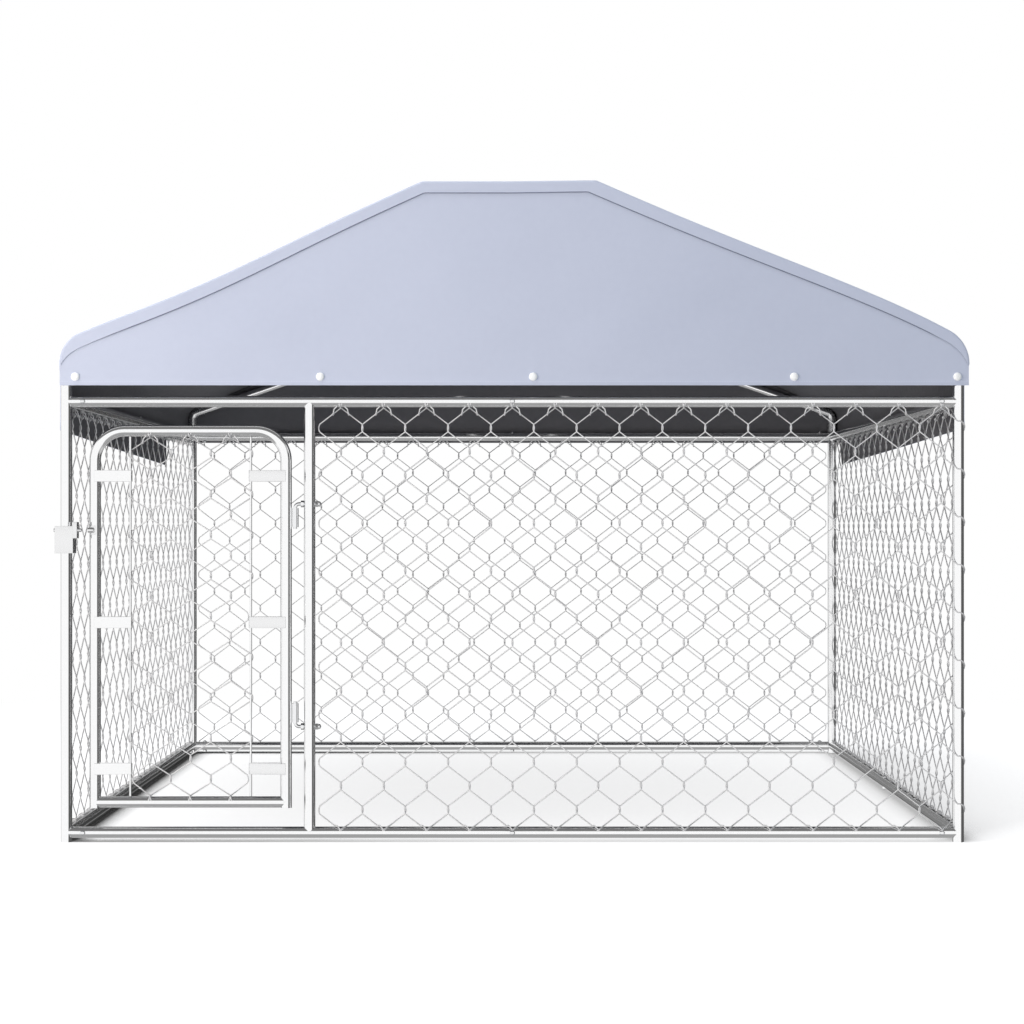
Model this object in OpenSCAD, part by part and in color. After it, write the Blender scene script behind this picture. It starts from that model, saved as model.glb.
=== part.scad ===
// Outdoor kennel run: a bolted tube frame with wire nets, a hung door and a
// stretched cover on two pairs of roof bows. Millimetres, +Z up, front towards -Y.
// The origin is on the ground, at the middle of the run.

/* [Frame] */
// Width over the corner posts
run_w = 2000; // [1600:10:2400]
// Depth over the corner posts
run_d = 2000; // [1600:10:2400]
// Outer diameter of the frame tubes
tube_d = 25; // [23:0.5:27]
// Wall of the frame tubes
tube_wall = 1.2; // [0.8:0.1:1.5]
// Height of the bottom rails' axis above the ground
bottom_rail_z = 21; // [16:1:40]
// Height of the top rails' axis above the ground
top_rail_z = 975; // [900:1:1100]
// Height of the corner posts above the top rails' axis
post_rise = 17; // [15:0.5:25]
// Length of the stubs and plugs that the tubes push onto
plug_l = 50; // [40:1:70]
// Gap all round a plug in its tube
plug_gap = 0.1; // [0.05:0.05:0.2]
// Gap between pieces that lie against each other
seat_gap = 0.3; // [0.2:0.05:0.4]

/* [Rail bolts] */
// Diameter of the rail bolts
rail_bolt_d = 6; // [4:0.5:7]
// Diameter of the domed bolt heads
rail_head_d = 12; // [10:0.5:14]
// Height of the domed bolt heads
rail_head_h = 4; // [3:0.5:5]
// Width of the rail nuts across their flats
rail_nut_w = 10; // [9:0.5:12]
// Height of the rail nuts
rail_nut_h = 5; // [4:0.5:6]
// Distance of the end bolts from the posts' axes
bolt_inset = 38; // [30:1:45]
// Room all round a bolt in its hole
hole_gap = 0.25; // [0.15:0.05:0.4]

/* [Roof bows] */
// Straight rise of the front bows above the posts
front_leg = 66; // [62:1:120]
// Fall of the roof from the front bows to the rear bows
roof_fall = 60; // [0:1:61]
// Rise of the ridge bends above the eave bends
roof_rise = 326; // [250:1:400]
// Length of the flat ridge between its bends
ridge_flat = 355; // [290:5:450]
// Bend radius of the bows
bow_bend_r = 60; // [45:1:90]
// Distance of each ridge tube from the middle
ridge_tube_x = 130; // [90:1:140]

/* [Cover] */
// Thickness of the cover cloth
cloth_t = 2; // [1:0.25:3]
// Gap between the cloth and the tubes under it
cloth_gap = 0.4; // [0.35:0.05:0.6]
// Height of the front hem above the top rails' axis
front_hem_rise = 35; // [25:1:45]
// Drop of the rear hem below the top rails' axis
rear_hem_drop = 18; // [14:1:60]
// Drop of the side hems at the front, below the top rails' axis
side_hem_front = 62; // [40:1:120]
// Drop of the side hems at the rear, below the top rails' axis
side_hem_rear = 95; // [70:1:150]
// Length of the cut at the rear of the left side hem, from the rear posts' axes
left_notch = 435; // [100:5:600]
// Length of the slanted cut at the rear of the right side hem, from the rear posts' axes
right_notch = 100; // [50:5:300]
// Diameter of the hem studs' heads
stud_d = 20; // [14:1:24]
// Height of the hem studs' heads
stud_h = 5; // [3:0.5:7]
// Diameter of the hem studs' shanks
stud_shank_d = 6; // [4:0.5:7]
// Diameter of the washers inside the hem studs
stud_washer_d = 12; // [9:0.5:14]
// Thickness of the washers inside the hem studs
stud_washer_h = 1; // [0.5:0.1:1.5]
// Height of the front studs above their hem
front_stud_rise = 19; // [14:1:30]
// Height of the rear studs above the top rails' axis
rear_stud_rise = 32; // [28:1:40]
// Distance of the corner studs from the posts' axes
corner_stud_inset = 17; // [16:0.5:30]

/* [Nets] */
// Thickness of the net wire
wire_d = 2.5; // [2:0.1:3.5]
// Width of a gap in the wall nets, drawn at twice the real pitch
gap_w = 195; // [150:5:260]
// Height of a gap in the wall nets, drawn at twice the real pitch
gap_h = 186; // [150:2:260]
// Width of a gap in the door's net
door_gap_w = 90; // [80:1:130]
// Height of a gap in the door's net
door_gap_h = 90; // [80:1:130]

/* [Door] */
// Distance from the corner post's axis to the door post's axis
door_bay = 538.5; // [500:0.5:700]
// Distance from the corner post's axis to the door's latch stile
latch_side = 63.5; // [60:0.5:66]
// Distance from the hinge axis to the door post's axis
hinge_reach = 32; // [30:0.5:36]
// Distance from the top rails' axis down to the door's top
door_top_drop = 65; // [50:1:90]
// Distance from the bottom rails' axis up to the door's bottom rail
door_bottom_rise = 67; // [50:1:90]
// Bend radius of the door hoop
door_bend_r = 66; // [45:1:74]
// Diameter of the net rods in the door
rod_d = 5; // [4:0.5:6]
// Distance of the net rods from the stiles' axes
rod_inset = 78; // [70:1:95]
// Height of the straps
strap_h = 25; // [18:1:32]
// Thickness of the straps
strap_t = 2; // [1.5:0.25:3]
// Distance between the straps
strap_pitch = 324; // [280:2:340]
// Shift of the middle straps from the door's middle
strap_shift = -13; // [-25:1:25]

/* [Hinges] */
// Diameter of the hinge bolts and their pins
pin_d = 8; // [7:0.5:9]
// Running gap all round a hinge pin
pin_gap = 0.05; // [0.02:0.01:0.09]
// Outer diameter of the hinge sleeves
sleeve_d = 15; // [14:0.5:16]
// Length of the hinge sleeves
sleeve_l = 42; // [30:1:60]
// Bend radius of the hinge bolts
elbow_r = 9; // [8:0.25:10]
// Distance from the top rails' axis down to the upper hinge bolt
upper_hinge_drop = 227; // [215:1:240]
// Distance from the bottom rails' axis up to the lower hinge bolt
lower_hinge_rise = 234; // [215:1:245]
// Width of the hinge nuts across their flats
hinge_nut_w = 13; // [12:0.5:14]
// Height of the hinge nuts
hinge_nut_h = 6.5; // [5:0.5:7]

/* [Latch] */
// Distance from the top rails' axis down to the latch bolt
latch_drop = 285; // [260:1:310]
// Width of the latch plate
latch_w = 38; // [34:1:42]
// Height of the latch plate
latch_h = 60; // [54:1:80]
// Thickness of the latch plate
latch_t = 3; // [2:0.25:4]
// Shift of the latch plate to the outside of the post
latch_shift = 7; // [4:0.5:9]
// Diameter of the latch bolt
bolt_d = 8; // [7:0.5:9]
// Length of the latch bolt
bolt_l = 64; // [60:1:66]
// Length of the latch bolt's cross handle
handle_l = 36; // [28:1:44]
// Diameter of the latch bolt's cross handle
handle_d = 6; // [5:0.5:7]
// Diameter of the barrels that guide the latch bolt
barrel_d = 14; // [12:0.5:16]
// Length of each barrel
barrel_l = 12; // [8:0.5:14]
// Width of the keeper on the door
keeper_w = 24; // [20:1:26]
// Height of the keeper's plate
keeper_h = 44; // [38:1:60]
// Room all round the latch bolt in the keeper
keeper_gap = 0.6; // [0.4:0.1:1]
// Diameter of the latch screws
screw_d = 4; // [3:0.5:5]
// Diameter of the latch screws' heads
screw_head_d = 8; // [7:0.5:9]

/* [Hidden] */
$fn = 48;

steel = "lightgray";
wire = "silver";
cloth = "lightsteelblue";
pale = "whitesmoke";

tube_r = tube_d / 2;
bore_d = tube_d - 2 * tube_wall;
plug_d = bore_d - 2 * plug_gap;
plug_bore_d = plug_d - 2 * tube_wall;
// Length of the solid ring between a tube and its plug
shoulder_l = 3;
// Overlap that keeps a cut clear of the face it starts from
past = 1;

post_x = run_w / 2 - tube_r;
post_y = run_d / 2 - tube_r;
post_h = top_rail_z + post_rise;
stub_end = tube_r + plug_l;

// Bows: the eave and ridge bends are alike, so the rafter lies along the line between their centres
eave_bend = [-post_x + bow_bend_r, post_h + front_leg];
ridge_bend = [-ridge_flat / 2, eave_bend[1] + roof_rise];
slope = atan(roof_rise / (ridge_bend[0] - eave_bend[0]));
slope_run = norm(ridge_bend - eave_bend);
ridge_z = ridge_bend[1] + bow_bend_r;
fall_angle = atan(roof_fall / (2 * post_y));
rear_leg = front_leg - roof_fall;

// Door: the stiles' axes, the hinge axis and the run of the door's rails
door_post_x = -post_x + door_bay;
hinge_x = door_post_x - hinge_reach;
hinge_stile_x = hinge_x - sleeve_d / 2 - tube_r - plug_gap;
latch_stile_x = -post_x + latch_side;
door_top_z = top_rail_z - door_top_drop;
door_bottom_z = bottom_rail_z + door_bottom_rise;
door_mid_z = (door_top_z + door_bottom_z) / 2 + strap_shift;
upper_hinge_z = top_rail_z - upper_hinge_drop;
lower_hinge_z = bottom_rail_z + lower_hinge_rise;
sleeve_bore_d = pin_d + 2 * pin_gap;
// How far a hinge pin shows past its sleeve
pin_past = 4;
// How far the blind thread of a dome nut reaches into its dome
dome_thread_past = 1.5;
// Length of a hinge's dome nut, whose dome is as high as its hexagon
dome_nut_l = 2 * hinge_nut_h;

// Latch: the plate lies on the front of the post and carries the bolt
plate_back_y = -post_y - tube_r - seat_gap;
latch_z = top_rail_z - latch_drop;
// How deep the barrels are set into their plates
barrel_sink = 1;
// How far the latch plate reaches past the barrels, and past the drawn-back bolt
plate_edge = 2;
latch_bolt_y = plate_back_y - latch_t - barrel_d / 2 + barrel_sink;
latch_x = -post_x - latch_shift;
latch_top_z = latch_z + barrel_d / 2 + plate_edge;
latch_left_x = latch_x - latch_w / 2;
latch_bolt_x = latch_left_x + plate_edge;
// Distance from the latch bolt's tip back to its handle
handle_back = 16;
// Distance between the latch plate's screws
screw_pitch = 18;

// Straight steps round the cover's bends at the eaves and at the ridge
eave_steps = 10;
ridge_steps = 5;
function arc(centre, r, from, to, steps) = [
    for (i = [0:steps]) let (a = from + (to - from) * i / steps) centre + r * [cos(a), sin(a)]];
// Left half of the line that lies a distance outside the bow's axis, from low_z to the middle
function half_line(off, low_z) = concat(
    [[-post_x - off, low_z]],
    arc(eave_bend, bow_bend_r + off, 180, 90 + slope, eave_steps),
    arc(ridge_bend, bow_bend_r + off, 90 + slope, 90, ridge_steps));
function mirrored(line) = [for (i = [len(line) - 1:-1:0]) [-line[i][0], line[i][1]]];
function reversed(line) = [for (i = [len(line) - 1:-1:0]) line[i]];
function whole_line(off, low_z) = concat(half_line(off, low_z), mirrored(half_line(off, low_z)));

// Tubes
module ring(outer, inner) {
    difference() {
        circle(d = outer);
        circle(d = inner);
    }
}
module tube(l) {
    linear_extrude(l) ring(tube_d, bore_d);
}
module plug(l) {
    linear_extrude(l) ring(plug_d, plug_bore_d);
}
// A tube along +Z whose far end is drawn in to a plug
module plugged_tube(l) {
    tube(l - shoulder_l);
    translate([0, 0, l - shoulder_l]) linear_extrude(shoulder_l) ring(tube_d, plug_bore_d);
    translate([0, 0, l]) plug(plug_l);
}
// A plug that is set into the end of a bent tube, along +Z from the tube's end
module set_plug() {
    translate([0, 0, -shoulder_l]) {
        linear_extrude(shoulder_l) ring(tube_d - tube_wall, plug_d - tube_wall);
        plug(shoulder_l + plug_l);
    }
}
// A quarter or less of a bent tube, in the XZ plane, round the origin
module bend(r, from, turn) {
    rotate([90, 0, 0]) rotate([0, 0, from]) rotate_extrude(angle = turn) translate([r, 0])
        ring(tube_d, bore_d);
}
module along_x() {
    rotate([0, 90, 0]) children();
}
module along_y() {
    rotate([-90, 0, 0]) children();
}
module cross_hole(d) {
    cylinder(d = d, h = 2 * tube_d, center = true);
}

// Posts
module corner_post(side, end) {
    color(steel) translate([side * post_x, end * post_y, 0]) difference() {
        union() {
            cylinder(d = tube_d, h = post_h);
            for (z = [bottom_rail_z, top_rail_z]) translate([0, 0, z]) {
                rotate([0, -90 * side, 0]) cylinder(d = plug_d, h = stub_end);
                rotate([90 * end, 0, 0]) cylinder(d = plug_d, h = stub_end);
            }
        }
        translate([0, 0, -past]) cylinder(d = bore_d, h = post_h + 2 * past);
        for (z = [bottom_rail_z, top_rail_z]) translate([0, 0, z]) {
            rotate([0, -90 * side, 0]) cylinder(d = plug_bore_d, h = stub_end + past);
            rotate([90 * end, 0, 0]) cylinder(d = plug_bore_d, h = stub_end + past);
            translate([-side * bolt_inset, 0, 0]) rail_bolt_turn(end) cross_hole(rail_bolt_d + 2 * hole_gap);
            translate([0, -end * bolt_inset, 0]) cross_hole(rail_bolt_d + 2 * hole_gap);
        }
    }
}
module door_post() {
    cope_d = tube_d + 2 * seat_gap;
    color(steel) translate([door_post_x, -post_y, 0]) difference() {
        translate([0, 0, bottom_rail_z]) tube(top_rail_z - bottom_rail_z);
        for (z = [bottom_rail_z, top_rail_z])
            translate([0, 0, z]) along_x() cylinder(d = cope_d, h = 2 * tube_d, center = true);
        for (z = [lower_hinge_z, upper_hinge_z])
            translate([0, 0, z]) along_x() cross_hole(pin_d + 2 * hole_gap);
    }
}

// Rails: the bolts stand level on the front rails, and upright on the others, clear of the cover
module rail_bolt_turn(end) {
    rotate([end < 0 ? 90 : 0, 0, 0]) children();
}
// Half of a rail along +X, towards the middle, plugged into the other half or taking its plug
module rail_half(reach, plugged, end) {
    seam = -plug_l / 2;
    start = reach - tube_r - seat_gap;
    bolt_hole_d = rail_bolt_d + 2 * hole_gap;
    color(steel) difference() {
        if (plugged) translate([-start, 0, 0]) along_x() plugged_tube(start + seam);
        else translate([seam + plug_gap, 0, 0]) along_x() tube(start - seam - plug_gap);
        for (x = [(plugged ? -1 : 1) * (reach - bolt_inset), 0])
            translate([x, 0, 0]) rail_bolt_turn(end) cross_hole(bolt_hole_d);
    }
}
module x_rail(end, z, plugged) {
    translate([0, end * post_y, z]) rail_half(post_x, plugged, end);
}
module y_rail(side, z, plugged) {
    translate([side * post_x, 0, z]) rotate([0, 0, 90]) rail_half(post_y, plugged, 1);
}
// Places of the rail bolts, each with its head towards +Z of its own frame
module at_rail_bolts() {
    for (z = [bottom_rail_z, top_rail_z], k = [-1, 0, 1]) {
        for (end = [-1, 1])
            translate([k * (post_x - bolt_inset), end * post_y, z]) rail_bolt_turn(end) children();
        for (side = [-1, 1])
            translate([side * post_x, k * (post_y - bolt_inset), z]) children();
    }
}
module rail_bolts() {
    head_z = tube_r + plug_gap;
    brim_h = rail_head_h / 2;
    shank_l = 2 * head_z + rail_nut_h + past;
    color(pale) at_rail_bolts() {
        translate([0, 0, head_z]) cylinder(d = rail_head_d, h = brim_h);
        translate([0, 0, head_z + brim_h])
            cylinder(d1 = rail_head_d, d2 = rail_head_d / 2, h = rail_head_h - brim_h);
        translate([0, 0, head_z - shank_l]) cylinder(d = rail_bolt_d, h = shank_l);
    }
}
module hex_nut(w, h, hole_d) {
    difference() {
        cylinder(d = w / cos(30), h = h, $fn = 6);
        translate([0, 0, -past]) cylinder(d = hole_d, h = h + 2 * past);
    }
}
module rail_nuts() {
    color(wire) at_rail_bolts() translate([0, 0, -tube_r - plug_gap - rail_nut_h])
        hex_nut(rail_nut_w, rail_nut_h, rail_bolt_d + 2 * plug_gap);
}

// Roof bows: an elbow on each post, a rafter on each elbow, and a ridge bow between the rafters
module on_bow(end) {
    translate([0, end * post_y, end < 0 ? 0 : -roof_fall]) children();
}
// Turns and moves a piece to the left rafter's line, at a bend's upper or lower end
module on_rafter(centre) {
    translate([centre[0], 0, centre[1]]) rotate([0, 90 - slope, 0]) translate([-bow_bend_r, 0, 0])
        children();
}
module elbow(side, end) {
    leg = end < 0 ? front_leg : rear_leg;
    color(steel) on_bow(end) mirror([side > 0 ? 1 : 0, 0, 0]) {
        translate([-post_x, 0, eave_bend[1]]) rotate([180, 0, 0]) plugged_tube(leg);
        translate([eave_bend[0], 0, eave_bend[1]]) bend(bow_bend_r, 180, slope - 90);
        on_rafter(eave_bend) set_plug();
    }
}
module rafter(side, end) {
    color(steel) on_bow(end) mirror([side > 0 ? 1 : 0, 0, 0])
        on_rafter(eave_bend) translate([0, 0, plug_gap]) tube(slope_run - 2 * plug_gap);
}
module ridge_bow(end) {
    color(steel) on_bow(end) {
        translate([-ridge_flat / 2, 0, ridge_z]) along_x() tube(ridge_flat);
        for (side = [0, 1]) mirror([side, 0, 0]) {
            translate([ridge_bend[0], 0, ridge_bend[1]]) bend(bow_bend_r, 90, slope);
            on_rafter(ridge_bend) mirror([0, 0, 1]) set_plug();
            translate([-ridge_tube_x, 0, ridge_z]) rotate([-fall_angle, 0, 0]) rotate([90 * end, 0, 0])
                difference() {
                    cylinder(d = plug_d, h = stub_end);
                    cylinder(d = plug_bore_d, h = stub_end + past);
                    along_x() cylinder(d = tube_d - tube_wall, h = 2 * tube_d, center = true);
                }
        }
    }
}
module ridge_tube(side) {
    run = 2 * post_y / cos(fall_angle);
    start = tube_r + seat_gap;
    color(steel) translate([side * ridge_tube_x, -post_y, ridge_z]) rotate([-fall_angle, 0, 0])
        along_y() translate([0, 0, start]) tube(run - 2 * start);
}

// Cover
cover_in = tube_r + cloth_gap;
cover_out = cover_in + cloth_t;
cover_y = post_y + cover_in;
low_z = top_rail_z - 2 * side_hem_rear;
// How far the roof sheet is drawn past both ends of the run before it is cut
roof_past = run_d / 5;
module hem_plane() {
    drop = side_hem_rear - side_hem_front;
    translate([0, -post_y, top_rail_z - side_hem_front]) rotate([-atan(drop / (2 * post_y)), 0, 0])
        translate([-run_w, -run_d, 0]) cube([2 * run_w, 3 * run_d, 2 * ridge_z]);
}
// The rear corners of the side hems are cut away: square on the left, slanted on the right
module hem_notches() {
    notch_z = top_rail_z - rear_hem_drop;
    translate([-run_w, post_y - left_notch, low_z - past]) cube([run_w, run_d, notch_z - low_z + past]);
    rotate([90, 0, 90]) linear_extrude(run_w) polygon([
        [post_y, notch_z], [post_y - right_notch, top_rail_z - side_hem_rear],
        [post_y - right_notch, low_z - past], [run_d, low_z - past], [run_d, notch_z]]);
}
module roof_sheet() {
    end_y = cover_y - plug_gap;
    intersection() {
        translate([0, -post_y, ridge_z]) rotate([-fall_angle, 0, 0])
            translate([0, run_d + roof_past, -ridge_z]) rotate([90, 0, 0])
                linear_extrude(run_d + 2 * roof_past) polygon(concat(
                    whole_line(cover_out, low_z), reversed(whole_line(cover_in, low_z))));
        translate([-run_w, -end_y, 0]) cube([2 * run_w, 2 * end_y, 2 * ridge_z]);
        hem_plane();
    }
}
module cover_roof() {
    color(cloth) difference() {
        roof_sheet();
        hem_notches();
    }
}
// End panel of the cover, with its inner face on the XZ plane and its thickness towards -Y
module end_panel(hem_z, stud_z) {
    color(cloth) rotate([90, 0, 0]) linear_extrude(cloth_t) difference() {
        polygon(whole_line(cover_out, hem_z));
        for (x = stud_places()) translate([x, stud_z]) circle(d = stud_shank_d + 2 * plug_gap);
    }
}
module cover_front_panel() {
    translate([0, -cover_y, 0]) end_panel(top_rail_z + front_hem_rise, front_stud_z());
}
module cover_rear_panel() {
    translate([0, cover_y, -roof_fall]) rotate([0, 0, 180]) end_panel(
        top_rail_z - rear_hem_drop + roof_fall, rear_stud_z() + roof_fall);
}
// Studs along a hem, as shares of the way from the middle to the corner studs, which sit beside the posts
stud_shares = [-1, -0.44, 0.05, 0.65, 1];
function stud_places() = (post_x - corner_stud_inset) * stud_shares;
function front_stud_z() = top_rail_z + front_hem_rise + front_stud_rise;
function rear_stud_z() = top_rail_z + rear_stud_rise;
module stud() {
    translate([0, 0, cloth_t + plug_gap]) {
        cylinder(d = stud_d, h = stud_h / 2);
        translate([0, 0, stud_h / 2]) cylinder(d1 = stud_d, d2 = stud_d / 2, h = stud_h / 2);
    }
    translate([0, 0, -plug_gap - stud_washer_h]) cylinder(d = stud_washer_d, h = stud_washer_h);
    translate([0, 0, -plug_gap]) cylinder(d = stud_shank_d, h = cloth_t + 2 * plug_gap);
}
module cover_studs() {
    color(pale) for (x = stud_places()) {
        translate([x, -cover_y, front_stud_z()]) rotate([90, 0, 0]) stud();
        translate([-x, cover_y, rear_stud_z()]) rotate([-90, 0, 0]) stud();
    }
}

// Nets: a flat lattice of crossing wires that fills a width and a height, from its lower left corner
module net(w, h, want_w, want_h) {
    cols = 2 * round(w / want_w);
    rows = 2 * round(h / want_h);
    dx0 = w / cols;
    dz0 = h / rows;
    lean = norm([dx0, dz0]);
    // Half the width of a wire, measured level and upright
    level = wire_d / 2 * lean / dz0;
    upright = wire_d / 2 * lean / dx0;
    dx = (w - 2 * level) / cols;
    dz = (h - 2 * upright) / rows;
    function joined(i, j) = (i + j + cols / 2 + 1) % 2 == 0;
    function at(i, j) = [level + i * dx, upright + j * dz];
    edge = concat(
        [for (i = [0:cols]) if (joined(i, 0) || (i > 0 && i < cols))
            at(i, joined(i, 0) ? 0 : 1) - [0, upright]],
        [for (j = [0:rows]) if (joined(cols, j) || (j > 0 && j < rows))
            at(joined(cols, j) ? cols : cols - 1, j) + [level, 0]],
        [for (i = [cols:-1:0]) if (joined(i, rows) || (i > 0 && i < cols))
            at(i, joined(i, rows) ? rows : rows - 1) + [0, upright]],
        [for (j = [rows:-1:0]) if (joined(0, j) || (j > 0 && j < rows))
            at(joined(0, j) ? 0 : 1, j) - [level, 0]]);
    gaps = [for (i = [1:cols - 1], j = [1:rows - 1]) if (!joined(i, j)) at(i, j)];
    corners = [for (g = gaps) each [
        g + [dx - level, 0], g + [0, dz - upright], g - [dx - level, 0], g - [0, dz - upright]]];
    holes = [for (k = [0:len(gaps) - 1]) [for (c = [0:3]) len(edge) + 4 * k + c]];
    color(wire) rotate([90, 0, 0]) linear_extrude(wire_d, center = true)
        polygon(concat(edge, corners), concat([[for (k = [0:len(edge) - 1]) k]], holes));
}
net_low_z = bottom_rail_z + tube_r + seat_gap;
net_h = top_rail_z - bottom_rail_z - tube_d - 2 * seat_gap;
net_clear = tube_r + seat_gap;
// The front net starts beside the hinges' dome nuts, which stand out from the door post
module net_front() {
    start_x = door_post_x + net_clear + dome_nut_l + seat_gap;
    translate([start_x, -post_y, net_low_z]) net(post_x - net_clear - start_x, net_h, gap_w, gap_h);
}
module net_rear() {
    translate([-post_x + net_clear, post_y, net_low_z]) net(2 * (post_x - net_clear), net_h, gap_w, gap_h);
}
module side_net(side) {
    translate([side * post_x, -post_y + net_clear, net_low_z]) rotate([0, 0, 90])
        net(2 * (post_y - net_clear), net_h, gap_w, gap_h);
}

// Door
module door_hoop() {
    foot_z = door_bottom_z - tube_r;
    stile_l = door_top_z - door_bend_r - foot_z;
    bar_l = hinge_stile_x - latch_stile_x - 2 * door_bend_r;
    color(steel) translate([0, -post_y, 0]) {
        for (x = [latch_stile_x, hinge_stile_x]) translate([x, 0, foot_z]) tube(stile_l);
        translate([latch_stile_x + door_bend_r, 0, door_top_z - door_bend_r]) bend(door_bend_r, 90, 90);
        translate([hinge_stile_x - door_bend_r, 0, door_top_z - door_bend_r]) bend(door_bend_r, 0, 90);
        translate([latch_stile_x + door_bend_r, 0, door_top_z]) along_x() tube(bar_l);
    }
}
module door_bottom_rail() {
    cope_d = tube_d + 2 * seat_gap;
    color(steel) translate([0, -post_y, door_bottom_z]) difference() {
        translate([latch_stile_x, 0, 0]) along_x() tube(hinge_stile_x - latch_stile_x);
        for (x = [latch_stile_x, hinge_stile_x])
            translate([x, 0, 0]) cylinder(d = cope_d, h = 2 * tube_d, center = true);
    }
}
rod_low_z = door_bottom_z + tube_r + seat_gap;
rod_l = door_top_z - door_bottom_z - tube_d - 2 * seat_gap;
module door_rods() {
    color(wire) for (x = [latch_stile_x + rod_inset, hinge_stile_x - rod_inset])
        translate([x, -post_y, rod_low_z]) cylinder(d = rod_d, h = rod_l);
}
// Straps on one stile: each goes round the stile and out to a net rod
module door_straps(stile_x, reach) {
    stile_loop_d = tube_d + 2 * plug_gap;
    rod_loop_d = rod_d + 2 * plug_gap;
    loop_y = stile_loop_d / 2 + strap_t;
    end_y = rod_loop_d / 2 + strap_t;
    color(pale) for (k = [-1, 0, 1])
        translate([stile_x, -post_y, door_mid_z + k * strap_pitch - strap_h / 2]) linear_extrude(strap_h)
            difference() {
                union() {
                    circle(d = stile_loop_d + 2 * strap_t);
                    translate([reach, 0]) circle(d = rod_loop_d + 2 * strap_t);
                    polygon([
                        [0, -loop_y], [0, -loop_y + strap_t],
                        [reach, -end_y + strap_t], [reach, -end_y]]);
                }
                circle(d = stile_loop_d);
                translate([reach, 0]) circle(d = rod_loop_d);
            }
}
module door_net() {
    left = latch_stile_x + rod_inset + rod_d / 2 + seat_gap;
    right = hinge_stile_x - rod_inset - rod_d / 2 - seat_gap;
    translate([left, -post_y, rod_low_z]) net(right - left, rod_l, door_gap_w, door_gap_h);
}

// Hinges: a bent bolt through the door post, whose pin turns in a sleeve on the door
// The pin points down on the upper hinge, and up on the lower one, so the door can't lift off
module on_hinge(up) {
    translate([hinge_x, -post_y, up ? lower_hinge_z : upper_hinge_z]) mirror([0, 0, up ? 1 : 0]) children();
}
module hinge_bolt(up) {
    shank_l = hinge_reach + tube_r + seat_gap + hinge_nut_h - elbow_r;
    color(wire) on_hinge(up) {
        translate([0, 0, -elbow_r - seat_gap - sleeve_l - pin_past])
            cylinder(d = pin_d, h = seat_gap + sleeve_l + pin_past);
        translate([elbow_r, 0, -elbow_r]) rotate([90, 0, 0]) rotate([0, 0, 90])
            rotate_extrude(angle = 90) translate([elbow_r, 0]) circle(d = pin_d);
        translate([elbow_r, 0, 0]) along_x() cylinder(d = pin_d, h = shank_l);
    }
}
module hinge_sleeve(up) {
    color(pale) on_hinge(up) translate([0, 0, -elbow_r - seat_gap - sleeve_l])
        linear_extrude(sleeve_l) ring(sleeve_d, sleeve_bore_d);
}
module hinge_nuts() {
    color(wire) for (up = [false, true]) on_hinge(up)
        translate([hinge_reach - tube_r - seat_gap - hinge_nut_h, 0, 0]) along_x()
            hex_nut(hinge_nut_w, hinge_nut_h, pin_d + 2 * plug_gap);
}
module hinge_dome_nuts() {
    color(wire) for (up = [false, true]) on_hinge(up)
        translate([hinge_reach + tube_r + seat_gap, 0, 0]) along_x() difference() {
            union() {
                cylinder(d = hinge_nut_w / cos(30), h = hinge_nut_h, $fn = 6);
                translate([0, 0, hinge_nut_h])
                    cylinder(d1 = hinge_nut_w, d2 = hinge_nut_w / 2, h = dome_nut_l - hinge_nut_h);
            }
            translate([0, 0, -past])
                cylinder(d = pin_d + 2 * plug_gap, h = hinge_nut_h + dome_thread_past + past);
        }
}

// Latch: a bolt that slides to the right, out of two barrels on the post and into the keeper on the door
module at_latch_screws() {
    for (k = [1, 2])
        translate([-post_x, plate_back_y, latch_z - k * screw_pitch]) rotate([90, 0, 0]) children();
}
module latch_plate() {
    color(pale) difference() {
        union() {
            translate([latch_left_x, plate_back_y - latch_t, latch_top_z - latch_h])
                cube([latch_w, latch_t, latch_h]);
            for (x = [latch_left_x, latch_left_x + latch_w - barrel_l])
                translate([x, latch_bolt_y, latch_z]) along_x() cylinder(d = barrel_d, h = barrel_l);
        }
        translate([latch_left_x - past, latch_bolt_y, latch_z]) along_x()
            cylinder(d = bolt_d + 2 * pin_gap, h = latch_w + 2 * past);
        at_latch_screws() screw_hole();
    }
}
module screw_hole() {
    translate([0, 0, -past]) cylinder(d = screw_d + 2 * plug_gap, h = latch_t + 2 * past);
}
// A round-headed screw that stands on the XY plane, with the thickness under its head
module screw(grip, head_d) {
    head_h = head_d / 4;
    translate([0, 0, grip + plug_gap]) cylinder(d1 = head_d, d2 = head_d / 2, h = head_h);
    cylinder(d = screw_d, h = grip + plug_gap);
}
module latch_screws() {
    color(wire) at_latch_screws() screw(latch_t, screw_head_d);
}
module latch_bolt() {
    color(wire) translate([latch_bolt_x, latch_bolt_y, latch_z]) {
        along_x() cylinder(d = bolt_d, h = bolt_l);
        translate([bolt_l - handle_back, 0, -handle_l / 2]) cylinder(d = handle_d, h = handle_l);
    }
}
module at_keeper_screws() {
    for (k = [-1, 1])
        translate([latch_stile_x, plate_back_y, latch_z + k * (keeper_h - screw_head_d - past) / 2])
            rotate([90, 0, 0]) children();
}
module latch_keeper() {
    color(pale) difference() {
        union() {
            translate([latch_stile_x - keeper_w / 2, plate_back_y - latch_t, latch_z - keeper_h / 2])
                cube([keeper_w, latch_t, keeper_h]);
            translate([latch_stile_x - keeper_w / 2, latch_bolt_y, latch_z]) along_x()
                cylinder(d = barrel_d, h = keeper_w);
        }
        translate([latch_stile_x - keeper_w / 2 - past, latch_bolt_y, latch_z]) along_x()
            cylinder(d = bolt_d + 2 * keeper_gap, h = keeper_w + 2 * past);
        at_keeper_screws() screw_hole();
    }
}
module keeper_screws() {
    color(wire) at_keeper_screws() screw(latch_t, screw_head_d);
}

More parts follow.
